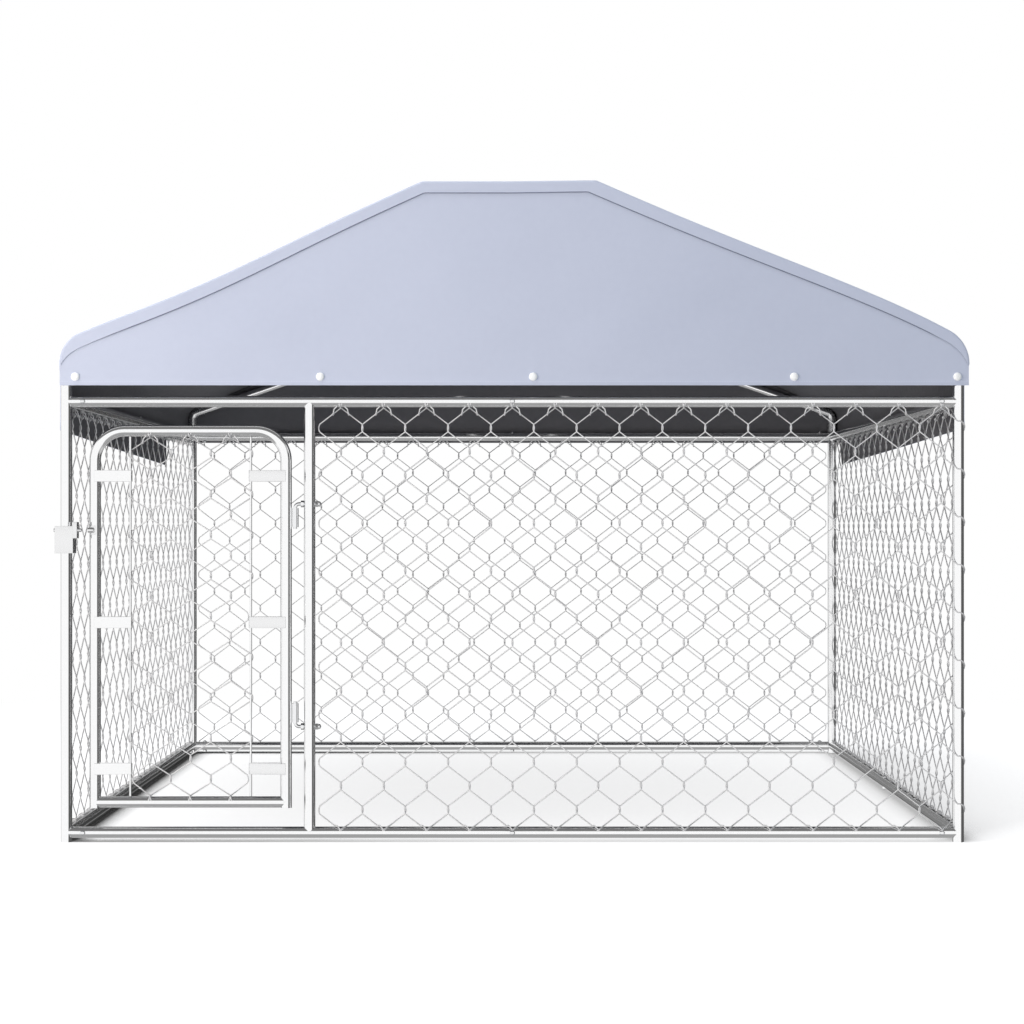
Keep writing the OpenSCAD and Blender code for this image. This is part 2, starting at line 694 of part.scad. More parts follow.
corner_post(-1, -1);  // post_front_left
corner_post(1, -1);  // post_front_right
corner_post(-1, 1);  // post_rear_left
corner_post(1, 1);  // post_rear_right
door_post();
x_rail(-1, top_rail_z, true);  // front_top_rail_left
x_rail(-1, top_rail_z, false);  // front_top_rail_right
x_rail(-1, bottom_rail_z, true);  // front_bottom_rail_left
x_rail(-1, bottom_rail_z, false);  // front_bottom_rail_right
x_rail(1, top_rail_z, true);  // rear_top_rail_left
x_rail(1, top_rail_z, false);  // rear_top_rail_right
x_rail(1, bottom_rail_z, true);  // rear_bottom_rail_left
x_rail(1, bottom_rail_z, false);  // rear_bottom_rail_right
y_rail(-1, top_rail_z, true);  // left_top_rail_front
y_rail(-1, top_rail_z, false);  // left_top_rail_rear
y_rail(-1, bottom_rail_z, true);  // left_bottom_rail_front
y_rail(-1, bottom_rail_z, false);  // left_bottom_rail_rear
y_rail(1, top_rail_z, true);  // right_top_rail_front
y_rail(1, top_rail_z, false);  // right_top_rail_rear
y_rail(1, bottom_rail_z, true);  // right_bottom_rail_front
y_rail(1, bottom_rail_z, false);  // right_bottom_rail_rear
rail_bolts();
rail_nuts();
elbow(-1, -1);  // front_elbow_left
elbow(1, -1);  // front_elbow_right
elbow(-1, 1);  // rear_elbow_left
elbow(1, 1);  // rear_elbow_right
rafter(-1, -1);  // front_rafter_left
rafter(1, -1);  // front_rafter_right
rafter(-1, 1);  // rear_rafter_left
rafter(1, 1);  // rear_rafter_right
ridge_bow(-1);  // front_ridge_bow
ridge_bow(1);  // rear_ridge_bow
ridge_tube(-1);  // ridge_tube_left
ridge_tube(1);  // ridge_tube_right
cover_roof();
cover_front_panel();
cover_rear_panel();
cover_studs();
net_front();
net_rear();
side_net(-1);  // net_left
side_net(1);  // net_right
door_hoop();
door_bottom_rail();
door_net();
door_rods();
door_straps(latch_stile_x, rod_inset);  // door_straps_left
door_straps(hinge_stile_x, -rod_inset);  // door_straps_right
hinge_bolt(false);  // upper_hinge_bolt
hinge_bolt(true);  // lower_hinge_bolt
hinge_nuts();
hinge_dome_nuts();
hinge_sleeve(false);  // upper_hinge_sleeve
hinge_sleeve(true);  // lower_hinge_sleeve
latch_plate();
latch_screws();
latch_bolt();
latch_keeper();
keeper_screws();
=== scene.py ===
"""Dresses the outdoor dog kennel run: galvanised tubes, wire nets, fittings and a stretched cover."""
from __future__ import annotations

import logging
import math
from dataclasses import dataclass, field
from enum import Enum
from typing import Callable, Sequence

import bmesh
import bpy
import numpy as np
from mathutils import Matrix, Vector

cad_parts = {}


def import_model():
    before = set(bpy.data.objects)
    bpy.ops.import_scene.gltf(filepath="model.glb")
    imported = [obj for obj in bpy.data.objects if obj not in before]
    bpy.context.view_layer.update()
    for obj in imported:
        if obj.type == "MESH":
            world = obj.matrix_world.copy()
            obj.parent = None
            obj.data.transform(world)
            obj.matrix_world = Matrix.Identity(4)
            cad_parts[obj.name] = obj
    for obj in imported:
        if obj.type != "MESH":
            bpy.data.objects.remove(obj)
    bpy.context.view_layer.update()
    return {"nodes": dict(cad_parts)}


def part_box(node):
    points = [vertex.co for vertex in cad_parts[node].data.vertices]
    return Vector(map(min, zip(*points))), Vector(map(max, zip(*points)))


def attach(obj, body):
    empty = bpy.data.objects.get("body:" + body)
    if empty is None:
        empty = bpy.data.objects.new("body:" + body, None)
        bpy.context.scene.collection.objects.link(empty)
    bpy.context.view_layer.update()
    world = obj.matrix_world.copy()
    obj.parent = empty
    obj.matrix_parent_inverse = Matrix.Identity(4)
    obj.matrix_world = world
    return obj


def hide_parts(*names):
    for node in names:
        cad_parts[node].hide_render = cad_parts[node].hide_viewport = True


LOG = logging.getLogger("kennel_run")
Point = tuple[float, float, float]
Colour = tuple[float, float, float]
Pairs = tuple[tuple[float, float], ...]
Span = tuple[float, float, float, float]


class Body(str, Enum):
    """The bodies that pieces ride on."""

    FRAME = "frame"
    DOOR = "door"
    LATCH = "latch"


class Slot(str, Enum):
    """Names of material slots."""

    TUBE = "galvanised_tube"
    WIRE = "net_wire"
    HARDWARE = "zinc_hardware"
    PLATE = "pale_plate"
    CLOTH = "cover_cloth"
    STUD = "white_stud"


class Edge(Enum):
    """How a net's outer strand ends."""

    FREE = "free"
    WRAPPED = "wrapped"


# Bench work shared by the pieces


def put_down() -> None:
    """Leaves edit mode and deselects everything."""
    held = bpy.context.object
    if held is not None and held.mode != "OBJECT":
        bpy.ops.object.mode_set(mode="OBJECT")
    bpy.ops.object.select_all(action="DESELECT")


def take_up(obj: bpy.types.Object) -> None:
    """Selects one object alone and makes it active."""
    put_down()
    obj.select_set(True)
    bpy.context.view_layer.objects.active = obj


def apply_all(obj: bpy.types.Object) -> None:
    """Applies an object's modifiers in their order."""
    take_up(obj)
    for name in [modifier.name for modifier in obj.modifiers]:
        bpy.ops.object.modifier_apply(modifier=name)


def settle(obj: bpy.types.Object, place: Sequence[float], turn: Sequence[float] = (0.0, 0.0, 0.0)) -> None:
    """Moves and turns a piece, and puts the place into its mesh.

    Args:
        obj: the piece, made about the origin.
        place: where its origin goes.
        turn: angles about X, Y and Z in radians.
    """
    take_up(obj)
    obj.location = place
    obj.rotation_euler = turn
    bpy.ops.object.transform_apply(location=True, rotation=True, scale=True)


def box_of(node: str) -> tuple[Vector, Vector]:
    """Gives the lowest and the highest corner of one of the frame's nodes."""
    low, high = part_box(node)
    return Vector(low), Vector(high)


def copy_of(obj: bpy.types.Object) -> bpy.types.Object:
    """Copies a piece with a mesh of its own."""
    twin = obj.copy()
    twin.data = obj.data.copy()
    bpy.context.collection.objects.link(twin)
    return twin


def join(name: str, pieces: Sequence[bpy.types.Object]) -> bpy.types.Object:
    """Joins pieces into one named mesh object.

    Args:
        name: the joined piece's name.
        pieces: the objects to join.

    Returns:
        The joined object.
    """
    take_up(pieces[0])
    for piece in pieces:
        piece.select_set(True)
    if len(pieces) > 1:
        bpy.ops.object.join()
    joined = bpy.context.object
    joined.name = name
    joined.data.name = name
    return joined


def smooth(obj: bpy.types.Object, degrees: float = 40.0) -> None:
    """Shades a piece smooth, with edges sharper than the angle kept."""
    take_up(obj)
    bpy.ops.object.shade_smooth_by_angle(angle=math.radians(degrees))


def set_out(name: str, pattern: bpy.types.Object, places: Sequence[tuple[Point, Point]],
            degrees: float) -> bpy.types.Object:
    """Sets copies of a small piece at their places, joins them and removes the pattern.

    Args:
        name: the joined piece's name.
        pattern: the piece, made about the origin.
        places: each copy's place and its angles about X, Y and Z in radians.
        degrees: the angle past which edges stay sharp.

    Returns:
        The joined piece.
    """
    copies = []
    for place, turn in places:
        twin = copy_of(pattern)
        settle(twin, place, turn)
        copies.append(twin)
    bpy.data.objects.remove(pattern)
    joined = join(name, copies)
    smooth(joined, degrees)
    return joined


def finish_piece(obj: bpy.types.Object, body: Body, finishes: Sequence[bpy.types.Material],
                 nodes: Sequence[str] = ()) -> None:
    """Dresses a piece, names its body, and reports it.

    Args:
        obj: the piece.
        body: the body that it rides on.
        finishes: its materials, in the order of its faces' indices.
        nodes: the frame's nodes that it stands for.
    """
    if not obj.data.materials:
        for finish in finishes:
            obj.data.materials.append(finish)
    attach(obj, body.value)
    if nodes:
        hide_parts(*nodes)
    LOG.info("%s: %d faces on %s", obj.name, len(obj.data.polygons), body.value)


def drawn_path(path: Sequence[Point], thickness: Sequence[float] | None = None) -> bpy.types.Curve:
    """Draws an open path and leaves it active.

    Args:
        path: the path's points.
        thickness: each point's share of the full thickness, where it changes.

    Returns:
        The path's curve.
    """
    put_down()
    bpy.ops.curve.primitive_nurbs_path_add()
    curve = bpy.context.object.data
    curve.splines.clear()
    spline = curve.splines.new("POLY")
    spline.points.add(len(path) - 1)
    spline.points.foreach_set("co", [value for point in path for value in (*point, 1.0)])
    if thickness is not None:
        spline.points.foreach_set("radius", list(thickness))
    return curve


def swept_wire(name: str, path: Sequence[Point], radius: float, sides: int = 6,
               thickness: Sequence[float] | None = None) -> bpy.types.Object:
    """Sweeps a round wire along a path.

    Args:
        name: the piece's name.
        path: the points of the wire's axis.
        radius: the wire's radius.
        sides: sides of the wire's section, an even number from 4.
        thickness: each point's share of the radius, where it changes.

    Returns:
        The wire as a mesh object with closed ends.
    """
    curve = drawn_path(path, thickness)
    curve.dimensions = "3D"
    curve.bevel_depth = radius
    curve.bevel_resolution = sides // 2 - 2
    curve.use_fill_caps = True
    bpy.ops.object.convert(target="MESH")
    wire = bpy.context.object
    wire.name = name
    bpy.ops.object.shade_smooth()
    return wire


def bent_strip(name: str, path: Sequence[tuple[float, float]], height: float,
               gauge: float) -> bpy.types.Object:
    """Bends a flat metal strip, standing on edge, along a path seen from above.

    Args:
        name: the piece's name.
        path: the points of the strip's middle line in the XY plane.
        height: the strip's height.
        gauge: its thickness.

    Returns:
        The strip with eased edges, centred on the plane Z = 0.
    """
    curve = drawn_path([(x, y, 0.0) for x, y in path])
    curve.dimensions = "2D"
    curve.fill_mode = "NONE"
    curve.extrude = height / 2.0
    bpy.ops.object.convert(target="MESH")
    strip = bpy.context.object
    strip.name = name
    solid = strip.modifiers.new("gauge", "SOLIDIFY")
    solid.thickness = gauge
    solid.offset = 0.0
    ease_edges(strip, gauge / 4.0)
    return strip


def ease_edges(obj: bpy.types.Object, width: float, sharp: float = 40.0) -> None:
    """Applies a piece's modifiers with its sharp edges rounded, and shades it smooth.

    Args:
        obj: the piece.
        width: how far the rounding reaches from an edge.
        sharp: the angle in degrees past which an edge is rounded.
    """
    bevel = obj.modifiers.new("eased", "BEVEL")
    bevel.width = width
    bevel.segments = 2
    bevel.limit_method = "ANGLE"
    bevel.angle_limit = math.radians(sharp)
    apply_all(obj)
    take_up(obj)
    bpy.ops.object.mode_set(mode="EDIT")
    bpy.ops.mesh.select_all(action="SELECT")
    bpy.ops.mesh.normals_make_consistent(inside=False)
    bpy.ops.object.mode_set(mode="OBJECT")
    smooth(obj, sharp)


def turned(name: str, rings: Sequence[tuple[float, float]], sides: int = 24) -> bpy.types.Object:
    """Builds a turned piece about Z by extruding a circle from ring to ring.

    Args:
        name: the piece's name.
        rings: radius and height of each ring, from the lowest up.
        sides: sides of the circle.

    Returns:
        The closed piece.
    """
    put_down()
    bpy.ops.mesh.primitive_circle_add(vertices=sides, radius=rings[0][0], fill_type="NGON",
                                      location=(0.0, 0.0, rings[0][1]))
    piece = bpy.context.object
    bpy.ops.object.transform_apply(location=True, rotation=True, scale=True)
    bpy.ops.object.mode_set(mode="EDIT")
    bpy.ops.mesh.select_all(action="SELECT")
    for (last_r, last_z), (ring_r, ring_z) in zip(rings, rings[1:]):
        bpy.ops.mesh.extrude_region_move(TRANSFORM_OT_translate={"value": (0.0, 0.0, ring_z - last_z)})
        share = ring_r / last_r
        bpy.ops.transform.resize(value=(share, share, 1.0), center_override=(0.0, 0.0, ring_z))
    bpy.ops.mesh.select_all(action="SELECT")
    bpy.ops.mesh.normals_make_consistent(inside=False)
    bpy.ops.object.mode_set(mode="OBJECT")
    piece.name = name
    return piece


# Effects shared by the finishes


def new_group(name: str, inputs: dict[str, str], outputs: dict[str, str]) -> bpy.types.ShaderNodeTree:
    """Starts a shader node group with named sockets.

    Args:
        name: the group's name.
        inputs: socket names and their types.
        outputs: socket names and their types.

    Returns:
        The group, with its input and output nodes named "in" and "out".
    """
    group = bpy.data.node_groups.new(name, "ShaderNodeTree")
    for label, kind in inputs.items():
        group.interface.new_socket(label, in_out="INPUT", socket_type=kind)
    for label, kind in outputs.items():
        group.interface.new_socket(label, in_out="OUTPUT", socket_type=kind)
    group.nodes.new("NodeGroupInput").name = "in"
    group.nodes.new("NodeGroupOutput").name = "out"
    return group


def add_node(tree: bpy.types.NodeTree, kind: str, values: dict[str, object] | None = None,
             **settings: object) -> bpy.types.Node:
    """Adds a node, sets its properties and its inputs' values.

    Args:
        tree: the tree that gets the node.
        kind: the node's type.
        values: input values by socket name.
        settings: the node's own properties.

    Returns:
        The node.
    """
    node = tree.nodes.new(kind)
    for label, value in settings.items():
        setattr(node, label, value)
    for label, value in (values or {}).items():
        node.inputs[label].default_value = value
    return node


def math_node(tree: bpy.types.NodeTree, operation: str, first: object,
              second: object = 0.0) -> bpy.types.NodeSocket:
    """Adds a Math node.

    Args:
        tree: the tree that gets it.
        operation: its operation.
        first: a socket or a number.
        second: a socket or a number.

    Returns:
        Its output.
    """
    node = add_node(tree, "ShaderNodeMath", operation=operation)
    for index, value in enumerate((first, second)):
        if isinstance(value, bpy.types.NodeSocket):
            tree.links.new(value, node.inputs[index])
        else:
            node.inputs[index].default_value = value
    return node.outputs[0]


def spread(tree: bpy.types.NodeTree, value: bpy.types.NodeSocket, low: float, high: float,
           to_low: float, to_high: float) -> bpy.types.NodeSocket:
    """Maps a value from one range to another, smoothly and within limits.

    Args:
        tree: the tree that gets the node.
        value: the value to map.
        low: lowest value mapped.
        high: highest value mapped.
        to_low: result at the lowest.
        to_high: result at the highest.

    Returns:
        The mapped value.
    """
    node = add_node(tree, "ShaderNodeMapRange", interpolation_type="SMOOTHSTEP",
                    values={"From Min": low, "From Max": high, "To Min": to_low, "To Max": to_high})
    tree.links.new(value, node.inputs["Value"])
    return node.outputs["Result"]


def colour_between(tree: bpy.types.NodeTree, share: bpy.types.NodeSocket, first: Colour,
                   second: Colour) -> bpy.types.NodeSocket:
    """Mixes two colours by a mask.

    Args:
        tree: the tree that gets the node.
        share: the mask, 0 for the first colour.
        first: the first colour.
        second: the second colour.

    Returns:
        The mixed colour.
    """
    node = add_node(tree, "ShaderNodeMix", data_type="RGBA")
    tree.links.new(share, node.inputs["Factor"])
    node.inputs[6].default_value = (*first, 1.0)
    node.inputs[7].default_value = (*second, 1.0)
    return node.outputs[2]


def darkened(tree: bpy.types.NodeTree, colour: bpy.types.NodeSocket, share: bpy.types.NodeSocket,
             towards: Colour) -> bpy.types.NodeSocket:
    """Mixes a colour towards another by a mask.

    Args:
        tree: the tree that gets the node.
        colour: the colour to change.
        share: the mask, 1 for the other colour.
        towards: the other colour.

    Returns:
        The changed colour.
    """
    node = add_node(tree, "ShaderNodeMix", data_type="RGBA")
    tree.links.new(share, node.inputs["Factor"])
    tree.links.new(colour, node.inputs[6])
    node.inputs[7].default_value = (*towards, 1.0)
    return node.outputs[2]


def mixed(tree: bpy.types.NodeTree, share: bpy.types.NodeSocket, first: bpy.types.Node,
          second: bpy.types.Node) -> bpy.types.Node:
    """Mixes two shaders by a share.

    Args:
        tree: the tree that gets the node.
        share: the share, 0 for the first shader.
        first: the first shader.
        second: the second shader.

    Returns:
        The mixed shader.
    """
    node = add_node(tree, "ShaderNodeMixShader")
    tree.links.new(share, node.inputs["Fac"])
    tree.links.new(first.outputs[0], node.inputs[1])
    tree.links.new(second.outputs[0], node.inputs[2])
    return node


class Effects:
    """The node groups that more than one finish uses."""

    def __init__(self) -> None:
        """Builds each group once."""
        self.spangle = self._spangle()
        self.weathering = self._weathering()
        self.weave = self._weave()
        self.panels = self._panels()

    @staticmethod
    def _panels() -> bpy.types.ShaderNodeTree:
        """Builds what bright metal mirrors: a white front and left, a dark right and back, a dark ceiling.

        A span gives where a panel's edge begins and ends, as a bearing from the front or as a heading's
        height, and the brightness before and past it.
        """
        right_span = (0.74, 0.98, 1.0, 0.10)
        back_span = (2.2, 2.7, 1.0, 0.5)
        left_span = (-2.6, -1.95, 0.21, 1.0)
        ceiling_span = (0.46, 0.56, 1.0, 0.18)
        ground_span = (-0.62, -0.5, 0.36, 1.0)
        lifted_span = (0.2, 0.34, 0.0, 0.5)
        group = new_group("studio panels", {"Vector": "NodeSocketVector"}, {"Value": "NodeSocketFloat"})
        heading = add_node(group, "ShaderNodeSeparateXYZ")
        group.links.new(group.nodes["in"].outputs["Vector"], heading.inputs[0])
        ahead = math_node(group, "MULTIPLY", heading.outputs["Y"], -1.0)
        bearing = math_node(group, "ARCTAN2", heading.outputs["X"], ahead)
        right = spread(group, bearing, *right_span)
        right = math_node(group, "MULTIPLY", right, spread(group, bearing, *back_span))
        left = spread(group, bearing, *left_span)
        ceiling = spread(group, heading.outputs["Z"], *ceiling_span)
        ground = spread(group, heading.outputs["Z"], *ground_span)
        beyond = spread(group, math_node(group, "ABSOLUTE", heading.outputs["Z"]), *lifted_span)
        walls = math_node(group, "MAXIMUM", math_node(group, "MINIMUM", right, left), beyond)
        level = math_node(group, "MINIMUM", ceiling, ground)
        group.links.new(math_node(group, "MINIMUM", walls, level), group.nodes["out"].inputs["Value"])
        return group

    @staticmethod
    def _spangle() -> bpy.types.ShaderNodeTree:
        """Builds the frost of zinc crystals: a mask of flakes and a fine height."""
        flake_share = 0.6
        group = new_group("zinc spangle", {"Vector": "NodeSocketVector", "Scale": "NodeSocketFloat"},
                          {"Mask": "NodeSocketFloat", "Height": "NodeSocketFloat"})
        cells = add_node(group, "ShaderNodeTexVoronoi", feature="F1")
        grain = add_node(group, "ShaderNodeTexNoise", values={"Detail": 4.0, "Roughness": 0.6})
        start, end = group.nodes["in"], group.nodes["out"]
        for texture in (cells, grain):
            group.links.new(start.outputs["Vector"], texture.inputs["Vector"])
            group.links.new(start.outputs["Scale"], texture.inputs["Scale"])
        flakes = add_node(group, "ShaderNodeSeparateColor")
        group.links.new(cells.outputs["Color"], flakes.inputs["Color"])
        soft = math_node(group, "MULTIPLY", flakes.outputs["Red"], flake_share)
        rest = math_node(group, "MULTIPLY", grain.outputs["Fac"], 1.0 - flake_share)
        mask = math_node(group, "ADD", soft, rest)
        group.links.new(mask, end.inputs["Mask"])
        group.links.new(grain.outputs["Fac"], end.inputs["Height"])
        return group

    @staticmethod
    def _weathering() -> bpy.types.ShaderNodeTree:
        """Builds broad, soft blotches for handling marks and faint dirt."""
        group = new_group("weathering", {"Vector": "NodeSocketVector", "Scale": "NodeSocketFloat"},
                          {"Mask": "NodeSocketFloat"})
        blotch_span = (0.35, 0.72, 0.0, 1.0)
        broad = add_node(group, "ShaderNodeTexNoise",
                         values={"Detail": 5.0, "Roughness": 0.55, "Distortion": 0.4})
        start, end = group.nodes["in"], group.nodes["out"]
        group.links.new(start.outputs["Vector"], broad.inputs["Vector"])
        group.links.new(start.outputs["Scale"], broad.inputs["Scale"])
        group.links.new(spread(group, broad.outputs["Fac"], *blotch_span), end.inputs["Mask"])
        return group

    @staticmethod
    def _weave() -> bpy.types.ShaderNodeTree:
        """Builds a plain weave from a flat vector in metres: crossing threads as a height and a shade."""
        group = new_group("plain weave", {"Vector": "NodeSocketVector", "Threads": "NodeSocketFloat"},
                          {"Height": "NodeSocketFloat", "Shade": "NodeSocketFloat"})
        start, end = group.nodes["in"], group.nodes["out"]
        parts = add_node(group, "ShaderNodeSeparateXYZ")
        group.links.new(start.outputs["Vector"], parts.inputs["Vector"])
        waves = []
        for axis in ("X", "Y"):
            turns = math_node(group, "MULTIPLY", parts.outputs[axis], start.outputs["Threads"])
            angle = math_node(group, "MULTIPLY", turns, 2.0 * math.pi)
            waves.append(math_node(group, "SINE", angle))
        crossing = math_node(group, "MULTIPLY", waves[0], waves[1])
        height = math_node(group, "MULTIPLY", crossing, 0.5)
        height = math_node(group, "ADD", height, 0.5)
        group.links.new(height, end.inputs["Height"])
        slubs = add_node(group, "ShaderNodeTexNoise", values={"Scale": 60.0, "Detail": 3.0})
        group.links.new(start.outputs["Vector"], slubs.inputs["Vector"])
        group.links.new(slubs.outputs["Fac"], end.inputs["Shade"])
        return group


class Workshop:
    """Starts materials and places the shared effects in them."""

    def __init__(self, effects: Effects) -> None:
        """Keeps the shared effects."""
        self.effects = effects

    @staticmethod
    def start(name: str) -> tuple[bpy.types.Material, bpy.types.NodeTree, bpy.types.Node]:
        """Starts a material.

        Args:
            name: the material's name.

        Returns:
            The material, its tree and its Principled shader.
        """
        material = bpy.data.materials.new(name)
        material.use_nodes = True
        tree = material.node_tree
        return material, tree, tree.nodes["Principled BSDF"]

    @staticmethod
    def coordinates(tree: bpy.types.NodeTree, label: str = "Object") -> bpy.types.NodeSocket:
        """Adds a Texture Coordinate node and gives one of its outputs."""
        return add_node(tree, "ShaderNodeTexCoord").outputs[label]

    @staticmethod
    def effect(tree: bpy.types.NodeTree, group: bpy.types.ShaderNodeTree, vector: bpy.types.NodeSocket,
               **values: float) -> bpy.types.Node:
        """Places a shared effect in a material.

        Args:
            tree: the material's tree.
            group: the effect's group.
            vector: the coordinates that it reads.
            values: its other inputs.

        Returns:
            The group node.
        """
        node = add_node(tree, "ShaderNodeGroup", node_tree=group)
        tree.links.new(vector, node.inputs["Vector"])
        for label, value in values.items():
            node.inputs[label].default_value = value
        return node

    @staticmethod
    def bump(tree: bpy.types.NodeTree, shader: bpy.types.Node, height: bpy.types.NodeSocket, depth: float,
             strength: float) -> None:
        """Feeds a height to a shader's Normal through a Bump node.

        Args:
            tree: the material's tree.
            shader: the shader.
            height: the height, from 0 to 1.
            depth: the relief's depth in metres.
            strength: the Bump node's strength.
        """
        node = add_node(tree, "ShaderNodeBump", values={"Distance": depth, "Strength": strength})
        tree.links.new(height, node.inputs["Height"])
        tree.links.new(node.outputs["Normal"], shader.inputs["Normal"])


@dataclass(frozen=True)
class ZincFinish:
    """Zinc on steel: crystals, soft blotches and a fine grain."""

    name: str
    bright: Colour
    dull: Colour
    roughness: tuple[float, float]
    spangle_scale: float
    metallic: float = 1.0
    grain_depth: float = 0.0001
    grain_strength: float = 0.25
    blotch_scale: float = 7.0
    soiling: float = 0.35
    flake_span: tuple[float, float] = (0.2, 0.8)

    def make(self, shop: Workshop) -> bpy.types.Material:
        """Builds the material."""
        material, tree, shader = shop.start(self.name)
        place = shop.coordinates(tree)
        flakes = shop.effect(tree, shop.effects.spangle, place, Scale=self.spangle_scale)
        marks = shop.effect(tree, shop.effects.weathering, place, Scale=self.blotch_scale)
        crystals = colour_between(tree, flakes.outputs["Mask"], self.dull, self.bright)
        soiled = math_node(tree, "MULTIPLY", marks.outputs["Mask"], self.soiling)
        tree.links.new(darkened(tree, crystals, soiled, self.dull), shader.inputs["Base Color"])
        rough = spread(tree, flakes.outputs["Mask"], *self.flake_span, *self.roughness)
        tree.links.new(rough, shader.inputs["Roughness"])
        shader.inputs["Metallic"].default_value = self.metallic
        shop.bump(tree, shader, flakes.outputs["Height"], self.grain_depth, self.grain_strength)
        return material


@dataclass(frozen=True)
class PaleFinish:
    """Pale lacquer or plastic with a faint orange peel and handling marks."""

    name: str
    colour: Colour
    shade: Colour
    roughness: tuple[float, float]
    peel_scale: float
    coat: float = 0.0
    peel_depth: float = 0.00006
    peel_strength: float = 0.3
    blotch_scale: float = 24.0

    def make(self, shop: Workshop) -> bpy.types.Material:
        """Builds the material."""
        material, tree, shader = shop.start(self.name)
        place = shop.coordinates(tree)
        marks = shop.effect(tree, shop.effects.weathering, place, Scale=self.blotch_scale)
        peel = shop.effect(tree, shop.effects.spangle, place, Scale=self.peel_scale)
        tree.links.new(colour_between(tree, marks.outputs["Mask"], self.colour, self.shade),
                       shader.inputs["Base Color"])
        rough = spread(tree, marks.outputs["Mask"], 0.0, 1.0, *self.roughness)
        tree.links.new(rough, shader.inputs["Roughness"])
        shader.inputs["Coat Weight"].default_value = self.coat
        shop.bump(tree, shader, peel.outputs["Height"], self.peel_depth, self.peel_strength)
        return material


@dataclass(frozen=True)
class ClothFinish:
    """Coated woven cloth with slubs, stitched hems and a soft sheen."""

    name: str
    colour: Colour
    shade: Colour
    thread: Colour
    roughness: float
    sheen: float
    threads: float = 620.0
    stitch_in: float = 0.0085
    stitch_w: float = 0.0011
    stitch_pitch: float = 0.0055
    stitch_share: float = 0.7
    stitch_depth: float = 0.8
    weave_depth: float = 0.0002
    weave_strength: float = 0.35
    cloud_scale: float = 2.2
    cloud_share: float = 0.35
    slub_share: float = 0.3
    slub_span: tuple[float, float] = (0.3, 0.7)
    rough_swing: float = 0.06
    sheen_roughness: float = 0.5

    def stitches(self, tree: bpy.types.NodeTree) -> bpy.types.NodeSocket:
        """Draws a row of stitches at one distance from the hems.

        Args:
            tree: the material's tree.

        Returns:
            A mask of the stitches.
        """
        hem = add_node(tree, "ShaderNodeAttribute", attribute_name="hem_distance").outputs["Fac"]
        along = add_node(tree, "ShaderNodeAttribute", attribute_name="hem_along").outputs["Fac"]
        off_line = math_node(tree, "ABSOLUTE", math_node(tree, "SUBTRACT", hem, self.stitch_in))
        row = math_node(tree, "LESS_THAN", off_line, self.stitch_w)
        step = math_node(tree, "FRACT", math_node(tree, "DIVIDE", along, self.stitch_pitch))
        return math_node(tree, "MULTIPLY", row, math_node(tree, "LESS_THAN", step, self.stitch_share))

    def make(self, shop: Workshop) -> bpy.types.Material:
        """Builds the material."""
        material, tree, shader = shop.start(self.name)
        flat = shop.coordinates(tree, "UV")
        weave = shop.effect(tree, shop.effects.weave, flat, Threads=self.threads)
        clouds = shop.effect(tree, shop.effects.weathering, shop.coordinates(tree), Scale=self.cloud_scale)
        tone = math_node(tree, "ADD", math_node(tree, "MULTIPLY", clouds.outputs["Mask"], self.cloud_share),
                         math_node(tree, "MULTIPLY", weave.outputs["Shade"], self.slub_share))
        colour = colour_between(tree, tone, self.colour, self.shade)
        stitched = self.stitches(tree)
        tree.links.new(darkened(tree, colour, stitched, self.thread), shader.inputs["Base Color"])
        rough = spread(tree, weave.outputs["Shade"], *self.slub_span, self.roughness - self.rough_swing,
                       self.roughness + self.rough_swing)
        tree.links.new(rough, shader.inputs["Roughness"])
        shader.inputs["Sheen Weight"].default_value = self.sheen
        shader.inputs["Sheen Roughness"].default_value = self.sheen_roughness
        sunk = math_node(tree, "MULTIPLY", stitched, self.stitch_depth)
        height = math_node(tree, "SUBTRACT", weave.outputs["Height"], sunk)
        shop.bump(tree, shader, height, self.weave_depth, self.weave_strength)
        return material


